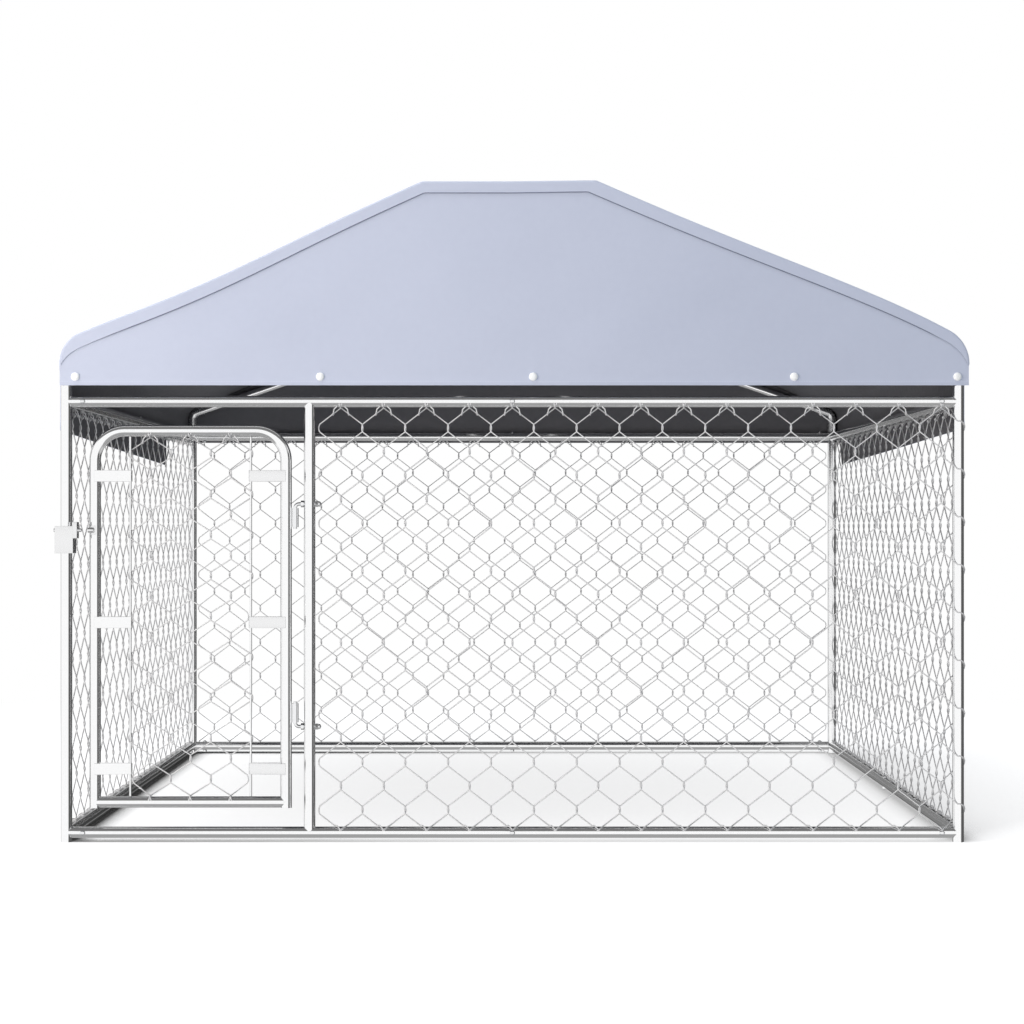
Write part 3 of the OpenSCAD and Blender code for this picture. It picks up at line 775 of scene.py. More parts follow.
class Finishes:
    """Every material on the run, built once."""

    def __init__(self, effects: Effects) -> None:
        """Builds the materials from their finishes.

        Args:
            effects: the shared node groups.
        """
        shop = Workshop(effects)
        zinc = {
            "tube": ZincFinish("galvanised tube", (0.975, 0.975, 0.98), (0.94, 0.942, 0.945), (0.10, 0.13),
                               160.0, grain_depth=0.00001),
            "wire": ZincFinish("net wire", (0.92, 0.92, 0.93), (0.82, 0.825, 0.83), (0.36, 0.46), 420.0,
                               metallic=0.65),
            "hardware": ZincFinish("zinc hardware", (0.94, 0.94, 0.95), (0.84, 0.85, 0.86), (0.16, 0.24),
                                   600.0, grain_depth=0.00003),
            "plate": ZincFinish("zinc plate", (0.93, 0.93, 0.935), (0.88, 0.88, 0.885), (0.24, 0.32), 420.0,
                                grain_depth=0.00003),
        }
        stud = PaleFinish("white stud", (0.98, 1.0, 1.0), (0.93, 0.97, 0.98), (0.28, 0.42), 500.0, coat=0.3)
        cloth = {
            # The cover cloth's stitch thread is a little lighter than the cloth: real stitches that also
            # paint the faint highlight along the hems.
            "cloth": ClothFinish("cover cloth", (0.553, 0.605, 0.738), (0.498, 0.548, 0.68),
                                 (0.588, 0.64, 0.77), roughness=0.62, sheen=0.08),
            "lining": ClothFinish("cover lining", (0.125, 0.125, 0.136), (0.105, 0.105, 0.116),
                                  (0.14, 0.14, 0.15), roughness=0.78, sheen=0.02),
            # The rear panel's inner face takes a lighter copy of the lining: the same cloth, with painted
            # light.
            "gable_lining": ClothFinish("gable lining lit copy", (0.165, 0.166, 0.18), (0.14, 0.141, 0.154),
                                        (0.17, 0.17, 0.18), roughness=0.78, sheen=0.02),
            # A dark cloth colour for the cords that paint the shadow line under each band's lap.
            "shadow_cord": ClothFinish("seam shadow cord", (0.20, 0.225, 0.31), (0.165, 0.19, 0.27),
                                   (0.15, 0.17, 0.25), roughness=0.7, sheen=0.05),
        }
        self.tube, self.wire, self.hardware, self.plate = (finish.make(shop) for finish in zinc.values())
        self.stud = stud.make(shop)
        self.cloth, self.lining, self.gable_lining, self.shadow_cord = (
            finish.make(shop) for finish in cloth.values())

    def dress_frame(self, nodes: dict[str, bpy.types.Object]) -> None:
        """Gives every node of the frame its material, and keeps the door's hoop out of reflections.

        Args:
            nodes: the frame's objects by name.
        """
        words = {
            self.plate: ("door_straps", "latch_plate"),
            self.tube: ("keeper",),
            self.hardware: ("bolt", "nut", "screw", "sleeve"),
            self.wire: ("net",),
            self.cloth: ("cover_roof", "cover_front", "cover_rear"),
            self.stud: ("cover_studs",),
        }
        for name, obj in nodes.items():
            named = [finish for finish, parts in words.items() if any(part in name for part in parts)]
            obj.data.materials.clear()
            obj.data.materials.append(named[0] if named else self.tube)
            obj.visible_glossy = name != "door_hoop"


# The run's own sizes


@dataclass(frozen=True)
class RunFrame:
    """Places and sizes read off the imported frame, in metres."""

    tube_r: float
    post_x: float
    post_y: float
    top_z: float
    bottom_z: float
    ridge_z: float
    roof_fall: float
    door_top_z: float
    door_bottom_z: float
    rod_left: float
    rod_right: float
    rod_r: float
    strap_spans: Pairs

    @classmethod
    def read(cls, strap_h: float = 0.025, straps: int = 3) -> "RunFrame":
        """Measures the frame's nodes.

        Args:
            strap_h: height of one of the door's straps.
            straps: how many straps lie above each other.

        Returns:
            The frame's places and sizes.
        """
        rail_low, rail_high = box_of("front_top_rail_left")
        foot_low, foot_high = box_of("front_bottom_rail_left")
        sill_low, sill_high = box_of("door_bottom_rail")
        rod_low, rod_high = box_of("door_rods")
        strap_low, strap_high = box_of("door_straps_left")
        post_high, hoop_high = box_of("post_front_right")[1], box_of("door_hoop")[1]
        tube_r = (rail_high.z - rail_low.z) / 2.0
        rod_r = (rod_high.y - rod_low.y) / 2.0
        ridge_z, rear_z = (box_of(f"{end}_ridge_bow")[1].z - tube_r for end in ("front", "rear"))
        lift = (strap_high.z - strap_low.z - strap_h) / (straps - 1)
        spans = tuple((strap_low.z + lift * step, strap_low.z + lift * step + strap_h)
                      for step in range(straps))
        return cls(tube_r=tube_r, post_x=post_high.x - tube_r, post_y=-(rail_low.y + rail_high.y) / 2.0,
                   top_z=(rail_low.z + rail_high.z) / 2.0, bottom_z=(foot_low.z + foot_high.z) / 2.0,
                   ridge_z=ridge_z, roof_fall=ridge_z - rear_z, door_top_z=hoop_high.z - tube_r,
                   door_bottom_z=(sill_low.z + sill_high.z) / 2.0, rod_left=rod_low.x + rod_r,
                   rod_right=rod_high.x - rod_r, rod_r=rod_r, strap_spans=spans)


@dataclass
class WireNet:
    """A net of flattened wire spirals, hooked into each other and over the rails above and below.

    The net is made along X about its own middle plane, with its outer face towards -Y, and is then set in
    its wall.
    """

    name: str
    node: str
    body: Body
    first: float
    pitch: float
    strands: int
    top_rail: float
    bottom_rail: float
    top_row: float
    bottom_row: float
    rail_r: float
    place: Point
    turn: float = 0.0
    first_edge: Edge = Edge.FREE
    last_edge: Edge = Edge.FREE
    first_axis: float = 0.0
    last_axis: float = 0.0
    edge_r: float = 0.0
    blocked: Pairs = ()
    rows: int = 18
    wire_r: float = 0.0015
    depth: float = 0.0019
    bend_h: float = 0.009
    overlap: float = 0.0014
    bend_in: float = 0.001
    slack: float = 0.0002
    apex_gap: float = 0.0155
    arm: float = 0.0034
    hook_reach: float = 0.0168
    hook_room: float = 0.006
    wrap_degrees: float = 105.0
    climb: Pairs = ((25.0, 0.3), (45.0, 0.55), (62.0, 0.78))
    arm_turn: tuple[float, float] = (0.75, 0.3)
    emerge: tuple[float, float, float] = (0.0093, 0.0073, 0.0018)
    leave: tuple[float, float] = (0.0058, 0.0035)
    tail: tuple[Point, ...] = ((-0.0005, -0.003, -0.003), (0.001, -0.0026, 0.0012), (0.0008, 0.0, 0.0034),
                               (-0.0004, 0.0027, 0.0012), (-0.0012, 0.0026, -0.0022))

    @property
    def row_h(self) -> float:
        """Height of half a diamond."""
        return (self.top_row - self.bottom_row) / self.rows

    @property
    def slope(self) -> float:
        """Rise of the slanted wires over their run."""
        return (self.row_h - 2.0 * self.bend_h) / (self.pitch - 2.0 * self.bend_in)

    def row_z(self, row: int) -> float:
        """Height of a row of bends, counted from the top."""
        return self.top_row - row * self.row_h

    def bend(self, column: float, out: int, before: int, z: float) -> list[Point]:
        """Leads a strand round its neighbour, from one face of the net to the other.

        Args:
            column: place of the bend along the wall.
            out: 1 where the bend points along the wall, -1 where it points back.
            before: the face that the wire comes from, -1 for the outer one.
            z: height of the bend.

        Returns:
            The bend's points, from the top down.
        """
        shape = ((-self.bend_in, before, self.bend_h), (0.7 * self.overlap, 0.75 * before, 0.5 * self.bend_h),
                 (self.overlap, 0.0, 0.0), (0.7 * self.overlap, -0.75 * before, -0.5 * self.bend_h),
                 (-self.bend_in, -before, -self.bend_h))
        return [(column + out * along, face * self.depth, z + rise) for along, face, rise in shape]

    def wrap(self, axis: float, out: int, before: int, z: float, inner: float) -> list[Point]:
        """Leads an outer bend round a post or rod.

        Args:
            axis: place of the post's axis along the wall.
            out: 1 at the wall's far end, -1 at its near end.
            before: the face that the wire comes from, -1 for the outer one.
            z: height of the bend.
            inner: place of the strand's inner bends.

        Returns:
            The bend's points, from the top down.
        """
        ring = self.edge_r + self.wire_r + self.slack
        drop = self.row_h - self.bend_h - (abs(axis - inner) - self.bend_in) * self.slope
        path = []
        for turn in np.radians(np.linspace(-self.wrap_degrees, self.wrap_degrees, 8)):
            across, rise = math.cos(turn), math.sin(turn)
            path.append((axis + out * ring * across, -before * ring * rise, z - drop * rise))
        return path

    def hook(self, column: float, side: int, layer: int, up: int) -> list[Point]:
        """Leads a strand's end up the rail's outer face, through the rail and back onto itself.

        Args:
            column: place of the strand's outer bend along the wall.
            side: 1 where the strand lies past the column, -1 where it lies before it.
            layer: the face on which the strand comes to the rail, -1 for the outer one.
            up: 1 at the rail above, -1 at the rail below.

        Returns:
            The points from the slanted wire to the hook's tip.
        """
        rail, row = (self.top_rail, self.top_row) if up > 0 else (self.bottom_rail, self.bottom_row)
        ring = self.rail_r + self.wire_r + self.slack
        lapped = ring + (2.0 * self.wire_r + self.slack if layer < 0 else 0.0)
        meet = up * (rail - row) + self.bend_h
        start = self.bend_in + max(0.0, self.apex_gap - meet) / self.slope
        below = max(self.apex_gap, meet)
        grip = max(self.hook_reach, start + self.hook_room)
        wire_y = layer * self.depth
        path = [(start, wire_y, below)]
        for degrees, share in self.climb:
            along, turn = start - (start + self.arm) * share, math.radians(degrees)
            path.append((along, -lapped * math.sin(turn), lapped * math.cos(turn)))
        path.append((-self.arm, -self.arm_turn[0] * self.rail_r, self.arm_turn[1] * self.rail_r))
        if up > 0:
            path.append((grip - self.emerge[0], -0.3 * self.rail_r, 0.5 * self.rail_r))
            path.append((grip - self.emerge[1], -0.47 * ring, 0.88 * ring))
            path.append((grip - self.emerge[2], -self.leave[0], ring + self.leave[1]))
            drop = below + (grip - start) * self.slope
            path += [(grip + along, wire_y + face, drop + rise) for along, face, rise in self.tail]
        return [(column + side * along, face, rail - up * rise) for along, face, rise in path]

    def outer_bend(self, edge: Edge, axis: float, column: float, out: int, before: int, z: float,
                   inner: float) -> list[Point]:
        """Leads the net's outer bend round its post or rod, or beside it where a fitting is in the way.

        Args:
            edge: how this end of the net is held.
            axis: place of the post's axis.
            column: place of the bend where nothing is wrapped.
            out: 1 at the wall's far end, -1 at its near end.
            before: the face that the wire comes from.
            z: height of the bend.
            inner: place of the strand's inner bends.

        Returns:
            The bend's points, from the top down.
        """
        if edge is Edge.FREE:
            return self.bend(column, out, before, z)
        room = 2.0 * self.bend_h
        if any(low - room < z < high + room for low, high in self.blocked):
            return self.bend(axis - out * (self.edge_r + room / 4.0), out, before, z)
        return self.wrap(axis, out, before, z, inner)

    def strand_path(self, index: int) -> list[Point]:
        """Lists the points of one strand's wire, from its hook above to its hook below.

        Args:
            index: the strand's number along the wall.

        Returns:
            The points of the wire's axis.
        """
        left = self.first + index * self.pitch
        right = left + self.pitch
        path: list[Point] = []
        for row in range(self.rows + 1):
            at_right = (row + index) % 2 == 0
            column, inner, out = (right, left, 1) if at_right else (left, right, -1)
            before = -out
            z = self.row_z(row)
            if row == 0:
                path += reversed(self.hook(column, -out, -before, 1))
            elif row == self.rows:
                path += self.hook(column, -out, before, -1)
            elif at_right and index == self.strands - 1:
                path += self.outer_bend(self.last_edge, self.last_axis, column, out, before, z, inner)
            elif not at_right and index == 0:
                path += self.outer_bend(self.first_edge, self.first_axis, column, out, before, z, inner)
            else:
                path += self.bend(column, out, before, z)
        return path

    def build(self, finishes: Finishes) -> bpy.types.Object:
        """Makes the net and sets it in its wall.

        Args:
            finishes: the run's materials.

        Returns:
            The net.
        """
        parts = [swept_wire("strand", self.strand_path(0), self.wire_r)]
        for start in (1, 2):
            strand = swept_wire("strand", self.strand_path(start), self.wire_r)
            array = strand.modifiers.new("row", "ARRAY")
            array.use_relative_offset = False
            array.use_constant_offset = True
            array.constant_offset_displace = (2.0 * self.pitch, 0.0, 0.0)
            array.count = len(range(start, self.strands - 1, 2))
            apply_all(strand)
            parts.append(strand)
        parts.append(swept_wire("strand", self.strand_path(self.strands - 1), self.wire_r))
        net = join(self.name, parts)
        settle(net, self.place, (0.0, 0.0, self.turn))
        finish_piece(net, self.body, [finishes.wire], [self.node])
        return net


def all_nets(run: RunFrame) -> list[WireNet]:
    """Lists the run's five nets.

    Args:
        run: the frame's sizes.

    Returns:
        The nets of the front, the other three walls and the door.
    """
    bolt_inset, under = 0.038, 0.0059
    front_pitch = (run.post_x - bolt_inset) / 20.0
    front_first, front_strands, front_low = -9.0 * front_pitch, 30, 0.0172
    wall_pitch, wall_strands = 0.0472, 41
    walls = (("rear", (0.0, run.post_y, 0.0), math.pi), ("left", (-run.post_x, 0.0, 0.0), -math.pi / 2.0),
             ("right", (run.post_x, 0.0, 0.0), math.pi / 2.0))
    nets = [WireNet("woven_net_front", "net_front", Body.FRAME, front_first, front_pitch, front_strands,
                    run.top_z, run.bottom_z, run.top_z - under, front_low, run.tube_r,
                    (0.0, -run.post_y, 0.0), last_edge=Edge.WRAPPED, last_axis=run.post_x,
                    edge_r=run.tube_r)]
    for wall, place, turn in walls:
        nets.append(WireNet(f"woven_net_{wall}", f"net_{wall}", Body.FRAME, -wall_strands * wall_pitch / 2.0,
                            wall_pitch, wall_strands, run.top_z, run.bottom_z, run.top_z - under,
                            run.bottom_z + under, run.tube_r, place, turn))
    door_strands = 6
    door_pitch = (run.rod_right - run.rod_left) / door_strands
    nets.append(WireNet("woven_net_door", "door_net", Body.DOOR, run.rod_left, door_pitch, door_strands,
                        run.door_top_z, run.door_bottom_z, run.door_top_z - under, run.door_bottom_z + under,
                        run.tube_r, (0.0, -run.post_y, 0.0), first_edge=Edge.WRAPPED, last_edge=Edge.WRAPPED,
                        first_axis=run.rod_left, last_axis=run.rod_right, edge_r=run.rod_r,
                        blocked=run.strap_spans))
    return nets


# The cloth cover


@dataclass
class Cover:
    """The stretched cover: a roof sheet with side valances, and a panel that closes each gable."""

    run: RunFrame
    bend_r: float = 0.060
    eave_z: float = 1.058
    ridge_half: float = 0.1775
    ridge_ends: tuple[float, float] = (0.1973, 0.1809)
    ridge_lift: float = 0.0028
    crease_r: float = 0.004
    cloth: float = 0.0012
    tube_gap: float = 0.0004
    lap_gap: float = 0.0008
    band_flat_w: float = 0.0255
    band_ridge: tuple[float, float] = (0.0255, 0.0305)
    band_low: tuple[float, float] = (0.0300, 0.0250)
    band_eave: tuple[float, float] = (0.0045, 0.0050)
    band_start: float = 0.68
    fold_r: float = 0.0035
    fold_share: float = 0.75
    raw_edge: float = 0.002
    hem_w: float = 0.013
    front_hem_z: float = 1.010
    rear_hem_z: float = 0.957
    left_hem: tuple[float, float] = (0.9117, 0.8656)
    right_hem: tuple[float, float] = (0.9166, 0.8848)
    left_cut_y: float = 0.568
    right_cut_y: float = 0.887
    right_cut_run: tuple[float, float] = (0.0803, 0.103)
    cut_margin: float = 0.15
    valance_depth: float = 0.02
    valance_inset: float = 0.002
    valance_share: float = 0.8
    wall_room: float = 0.0036
    wall_room_run: float = 0.04
    wall_room_lean: float = 0.4
    right_slack: float = 0.0042
    right_swell: float = 0.0138
    swell_shape: Span = (6.2, 2.6, 1.03, 0.85)
    left_sink: float = 0.0110
    sink_power: float = 1.5
    sag: float = 0.020
    sag_start: float = 0.55
    eave_sag: float = 0.9
    eave_lean: float = 0.45
    unevenness: float = 0.0012
    ridge_tilt: float = 0.0022
    tilt_limit: float = -0.2
    row_inset: float = 0.012
    rear_bend_r: float = 0.020
    rear_corner_z: float = 1.0445
    rear_rise: float = 0.34
    rear_turn_x: float = 0.70
    panel_tuck: tuple[float, float] = (0.003, 0.0018)
    panel_hem_rows: int = 5
    panel_rows: int = 34
    panel_columns: int = 120
    relief_top: float = 0.03
    relief_hem: float = 0.02
    relief_run: float = 0.12
    relief_side: float = 0.1
    rear_room_z: float = 1.02
    rear_room_run: float = 0.02
    # A thin dark cord along each band's edge paints the shadow line under the band's lap: its radius,
    # stand-off, stop short of the eaves, fade lengths and thinnest share.
    shadow_cord_r: float = 0.0011
    shadow_cord_proud: float = 0.0002
    shadow_cord_stop: float = 0.01
    shadow_cord_fade: tuple[float, float] = (0.13, 0.07)
    shadow_cord_thin: float = 0.25
    counts: dict[str, int] = field(default_factory=lambda: {
        "valance": 14, "eave": 10, "slope": 26, "ridge": 6, "flat": 6, "band": 5, "fold": 4, "length": 44})
    roof_flat: tuple[float, float] = (0.0, 0.0)

    @property
    def off(self) -> float:
        """Distance of the cloth's middle from the bows' axes."""
        return self.run.tube_r + self.tube_gap + self.cloth / 2.0

    @property
    def panel_y(self) -> float:
        """Distance of a gable panel's middle from the run's middle."""
        return self.run.post_y + self.off

    @property
    def band_y(self) -> float:
        """Distance of the folded band's middle from the run's middle."""
        return self.panel_y + self.cloth + self.lap_gap

    def half_bow(self, side: int) -> np.ndarray:
        """Samples one half of the cover's line over a bow, from the valance's foot to the ridge's middle.

        Args:
            side: 1 for the right half, -1 for the left one, which is given as if it were on the right.

        Returns:
            Rows of x, z, normal x, normal z, the height share on the valance or -1 above it, and the way
            that the folded band's edge lies from the crease's edge, along x and z.
        """
        eave = np.array((self.run.post_x - self.bend_r, self.eave_z))
        top = np.array((self.ridge_half, self.run.ridge_z - self.bend_r))
        lean = math.atan2(top[1] - eave[1], eave[0] - top[0])
        pick = 0 if side < 0 else 1
        corner, crest = self.ridge_ends[pick], self.run.ridge_z + self.ridge_lift
        high, low_w, eave_w = self.band_ridge[pick], self.band_low[pick], self.band_eave[pick]
        ridge = np.array((corner - self.crease_r * math.tan(lean / 2.0), crest - self.crease_r))
        gap = ridge - eave
        turn = math.atan2(gap[1], gap[0]) - math.acos((self.bend_r - self.crease_r) / np.linalg.norm(gap))
        slope = (math.cos(turn), math.sin(turn))
        mitre = (self.band_flat_w * slope[1] - high) / slope[0]
        rows: list[tuple[float, ...]] = []
        for share in np.linspace(0.0, 1.0, self.counts["valance"], endpoint=False):
            low = min(max((share - self.band_start) / (1.0 - self.band_start), 0.0), 1.0)
            rows.append((self.run.post_x, 0.0, 1.0, 0.0, share,
                         -self.raw_edge - (eave_w - self.raw_edge) * low, 0.0))
        for share in np.linspace(0.0, 1.0, self.counts["eave"], endpoint=False):
            normal = np.array((math.cos(turn * share), math.sin(turn * share)))
            width = eave_w + (low_w - eave_w) * (1.0 - (1.0 - share) ** 2)
            rows.append((*(eave + self.bend_r * normal), *normal, -1.0, *(-width * normal)))
        first, last = eave + self.bend_r * np.array(slope), ridge + self.crease_r * np.array(slope)
        for share in np.linspace(0.0, 1.0, self.counts["slope"], endpoint=False):
            low_pull = -low_w * np.array(slope)
            pull = low_pull + (np.array((mitre, -self.band_flat_w)) - low_pull) * share
            rows.append((*(first + (last - first) * share), *slope, -1.0, *pull))
        for angle in np.linspace(turn, math.pi / 2.0, self.counts["ridge"], endpoint=False):
            normal = np.array((math.cos(angle), math.sin(angle)))
            rows.append((*(ridge + self.crease_r * normal), *normal, -1.0, mitre, -self.band_flat_w))
        for share in np.linspace(1.0, 0.0, self.counts["flat"] + 1):
            rows.append((ridge[0] * share, crest, 0.0, 1.0, -1.0, mitre * share, -self.band_flat_w))
        return np.array(rows)

    def bow(self) -> np.ndarray:
        """Samples the cover's whole line, from the left valance's foot over the ridge to the right one's."""
        right = self.half_bow(1)
        left = self.half_bow(-1) * np.array((-1.0, 1.0, -1.0, 1.0, 1.0, -1.0, 1.0))
        return np.vstack((left, right[-2::-1]))

    def ripple(self, x: np.ndarray, y: np.ndarray) -> np.ndarray:
        """Gives the cloth's faint unevenness, between -1 and 1, at places on it."""
        return (np.sin(5.1 * x + 2.3 * y + 0.7) * np.sin(3.7 * y - 1.9 * x + 0.4)
                + 0.5 * np.sin(11.3 * x - 4.1 * y + 1.1) * np.cos(7.9 * y + 2.0))

    def slope_line(self) -> tuple[np.ndarray, np.ndarray, np.ndarray]:
        """Gives the right slope of the bows' axes in X and Z: its lower end, upper end and normal."""
        eave = np.array((self.run.post_x - self.bend_r, self.eave_z))
        ridge = np.array((self.ridge_half, self.run.ridge_z - self.bend_r))
        along = (ridge - eave) / np.linalg.norm(ridge - eave)
        normal = np.array((along[1], -along[0]))
        return eave + self.bend_r * normal, ridge + self.bend_r * normal, normal

    def drape(self, x: np.ndarray) -> np.ndarray:
        """Gives how far the cover's front stands off its bow: sunk on the left, swollen on the right.

        Args:
            x: places across the run.

        Returns:
            Distances along the normal, outward.
        """
        foot, top, _ = self.slope_line()
        left = np.clip((-x - top[0]) / (foot[0] - top[0]), 0.0, 1.0)
        right = np.clip((x - top[0]) / (self.run.post_x - top[0]), 0.0, 1.0)
        sunk = np.abs(np.sin(math.pi * left ** self.sink_power)) ** self.sink_power
        gain, rising, end, falling = self.swell_shape
        swollen = gain * right ** rising * (end - right) ** falling
        return self.right_swell * swollen - self.left_sink * sunk

    def sprung_rafter(self, finishes: Finishes) -> None:
        """Makes the front left rafter, sprung a little inward under the sunk cloth."""
        foot, top, normal = self.slope_line()
        path = []
        for share in np.linspace(0.001, 0.999, 25):
            x, z = foot + (top - foot) * share
            sunk = float(self.drape(np.array(-x)))
            path.append((-(x + normal[0] * sunk), -self.run.post_y, z + normal[1] * sunk))
        rafter = swept_wire("sprung_rafter_left", path, self.run.tube_r, 32)
        smooth(rafter, 40.0)
        finish_piece(rafter, Body.FRAME, [finishes.tube], ["front_rafter_left"])

    def rear_line(self, x: np.ndarray) -> np.ndarray:
        """Gives the height of the rear rafters' axis, flat near the elbows and steeper towards the ridge.

        Args:
            x: distances from the run's middle.

        Returns:
            The axis's heights.
        """
        foot, top, _ = self.slope_line()
        start = self.rear_corner_z + self.rear_rise * (self.run.post_x - self.rear_turn_x)
        reach = self.rear_turn_x - top[0]
        steep = (top[1] - foot[1]) / (foot[0] - top[0])
        share = np.clip((self.rear_turn_x - x) / reach, 0.0, 1.0)
        rest = 1.0 - share
        bent = (start * (1.0 + 2.0 * share) * rest ** 2 + reach * self.rear_rise * share * rest ** 2
                + (top[1] - self.run.roof_fall) * share ** 2 * (3.0 - 2.0 * share)
                - reach * steep * share ** 2 * rest)
        plain = self.rear_corner_z + self.rear_rise * (self.run.post_x - x)
        return np.where(x > self.rear_turn_x, plain, bent)

    def rear_bend(self) -> np.ndarray:
        """Gives the centre of the right rear elbow's bend, in X and Z."""
        lift = self.rear_rise - math.hypot(1.0, self.rear_rise)
        return np.array((self.run.post_x - self.rear_bend_r, self.rear_corner_z + self.rear_bend_r * lift))

    def rear_stand(self, bow: np.ndarray) -> np.ndarray:
        """Gives how far the cover's rear stands off the front bow's line, drawn tight over the elbows there.

        Args:
            bow: the cover's line, as rows of bow().

        Returns:
            Distances along the line's normals, outward.
        """
        foot, top, normal = self.slope_line()
        x, cosine, sine = np.abs(bow[:, 0]), np.maximum(np.abs(bow[:, 2]), 1e-6), bow[:, 3]
        eave = np.array((self.run.post_x - self.bend_r, self.eave_z - self.run.roof_fall))
        centre = self.rear_bend() - eave
        out, round_r = self.bend_r + self.off, self.rear_bend_r + self.off
        along = cosine * centre[0] + sine * centre[1]
        arc = along + np.sqrt(np.maximum(along ** 2 - centre @ centre + round_r ** 2, 0.0))
        touch = centre + round_r * normal
        slope = (touch @ normal) / (cosine * normal[0] + sine * normal[1])
        lean, last = sine / cosine, touch[1] / touch[0]
        radius = np.where(lean < centre[1] / out, out / cosine, np.where(lean < last, arc, slope))
        share = np.clip((x - top[0]) / (foot[0] - top[0]), 0.0, 1.0)
        on_arc = x > eave[0] + self.bend_r * cosine - 1e-6
        stand = np.where(on_arc, radius - out, (touch @ normal - out) * share)
        return np.where(bow[:, 4] >= 0.0, 0.0, stand)

    def rear_bows(self, finishes: Finishes) -> None:
        """Makes the rear elbows, bent tightly, and the rafters that rise gently from them."""
        foot, top, _ = self.slope_line()
        bend = self.rear_bend()
        turns = np.linspace(0.0, math.pi / 2.0 - math.atan(self.rear_rise), 10)
        post_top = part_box("post_rear_left")[1][2]
        elbow = [(self.run.post_x, post_top)]
        for turn in turns:
            elbow.append(tuple(bend + self.rear_bend_r * np.array((math.cos(turn), math.sin(turn)))))
        elbow.append((foot[0], float(self.rear_line(foot[0]))))
        rafter = [(x, float(self.rear_line(x))) for x in np.linspace(foot[0], top[0], 40)]
        for side, word in ((-1, "left"), (1, "right")):
            for kind, line, zinc in (("elbow", elbow, finishes.plate), ("rafter", rafter, finishes.tube)):
                path = [(side * float(x), self.run.post_y, float(z)) for x, z in line]
                tube = swept_wire(f"bent_{kind}_rear_{word}", path, self.run.tube_r, 32)
                smooth(tube, 40.0)
                finish_piece(tube, Body.FRAME, [zinc], [f"rear_{kind}_{word}"])

    def roof_rows(self) -> list[tuple[float, float, float, float]]:
        """Lists the roof sheet's rows from the front band's edge to the rear band's.

        Returns:
            For each row: share of the band's width still to come, the fold's angle, which end it is at
            (-1 front, 1 rear, 0 between), and the place along the run for rows between.
        """
        band = [(1.0 - step / self.counts["band"], 0.0) for step in range(self.counts["band"] + 1)]
        folds = self.counts["fold"]
        fold = [(0.0, math.pi / 2.0 * step / folds) for step in range(1, folds + 1)]
        front = [(share, angle, -1.0, 0.0) for share, angle in band + fold]
        inside = self.run.post_y - self.row_inset
        middle = [(0.0, 0.0, 0.0, y) for y in np.linspace(-inside, inside, self.counts["length"])]
        rear = [(share, angle, 1.0, 0.0) for share, angle in reversed(band + fold)]
        return front + middle + rear

    def hem_z(self, side: np.ndarray, share: np.ndarray | float) -> np.ndarray:
        """Gives the valances' hem heights at a share of the run's length."""
        left = self.left_hem[0] + (self.left_hem[1] - self.left_hem[0]) * share
        right = self.right_hem[0] + (self.right_hem[1] - self.right_hem[0]) * share
        return np.where(side < 0.0, left, right)

    def roof_points(self) -> tuple[np.ndarray, np.ndarray]:
        """Works out the roof sheet's grid.

        Returns:
            The points and the flat coordinates, each as rows by columns.
        """
        bow = self.bow()
        x, z, normal_x, normal_z, drop, pull_x, pull_z = bow.T
        side = np.sign(x)
        side[side == 0.0] = 1.0
        on_valance = drop >= 0.0
        over = np.clip((np.abs(x) - self.ridge_half) / (self.run.post_x - self.ridge_half), 0.0, 1.0)
        reach = np.abs(normal_x)
        on_eave = (~on_valance) & (reach > self.eave_lean)
        low = np.clip((drop - self.band_start) / (1.0 - self.band_start), 0.0, 1.0)
        band = np.hypot(pull_x, pull_z)
        fold = np.minimum(self.fold_r, band * self.fold_share)
        rear = self.rear_stand(bow)
        points, flats = [], []
        length = 0.0
        last: np.ndarray | None = None
        for share_in, angle, end, place in self.roof_rows():
            if end == 0.0:
                y = np.full_like(x, place)
                inward = np.zeros_like(x)
                share_in = 0.0
            else:
                inset = self.band_y - self.run.post_y + self.valance_inset
                ends = self.band_y - inset * (1.0 - low) * on_valance
                y = end * (ends - fold * (1.0 - math.cos(angle)))
                inward = fold * (1.0 - math.sin(angle)) * (1.0 - share_in)
            share = np.clip((y / self.run.post_y + 1.0) / 2.0, 0.0, 1.0)
            bowed = 1.0 - (2.0 * share - 1.0) ** 2
            fall = self.run.roof_fall * share
            hem = self.hem_z(side, share)
            top = self.eave_z - fall
            height = np.where(on_valance, hem + np.maximum(drop, 0.0) * (top - hem), z - fall)
            inside = np.clip((self.run.post_y - np.abs(y)) / self.wall_room_run, 0.0, 1.0)
            room = np.where(on_valance, 1.0, np.clip(reach - self.wall_room_lean, 0.0, 1.0))
            valance_out = self.wall_room * inside * room
            ahead = (1.0 - share) ** 2
            loose = np.where(side > 0.0, self.right_slack, 0.0) * np.where(on_valance, low, reach ** 2)
            slack = loose + self.drape(x) * ahead * np.where(on_valance, low, 1.0) + rear * share ** 2
            upper = np.clip((drop - self.sag_start) / (1.0 - self.sag_start), 0.0, 1.0)
            window = np.where(on_valance, upper * self.valance_share,
                              np.sqrt(over) * np.where(on_eave, self.eave_sag, 1.0))
            hang = -self.sag * bowed * window
            uneven = np.where(on_valance, self.valance_share, over)
            faint = self.unevenness * self.ripple(x, y) * bowed * uneven
            tilt = self.ridge_tilt * np.clip(x / self.ridge_half, self.tilt_limit, 1.0) * (1.0 - over)
            shift = self.off + valance_out + slack + hang + faint - inward
            row = np.stack((x + normal_x * shift + pull_x * share_in, y,
                            height + normal_z * shift + pull_z * share_in + np.maximum(tilt, 0.0)), axis=1)
            if last is not None:
                length += float(np.median(np.linalg.norm(row - last, axis=1)))
            last = row
            strides = np.linalg.norm(np.diff(row[:, (0, 2)], axis=0), axis=1)
            along = np.concatenate(([0.0], np.cumsum(strides)))
            points.append(row)
            flats.append(np.stack((along, np.full_like(along, length)), axis=1))
        return np.array(points), np.array(flats)

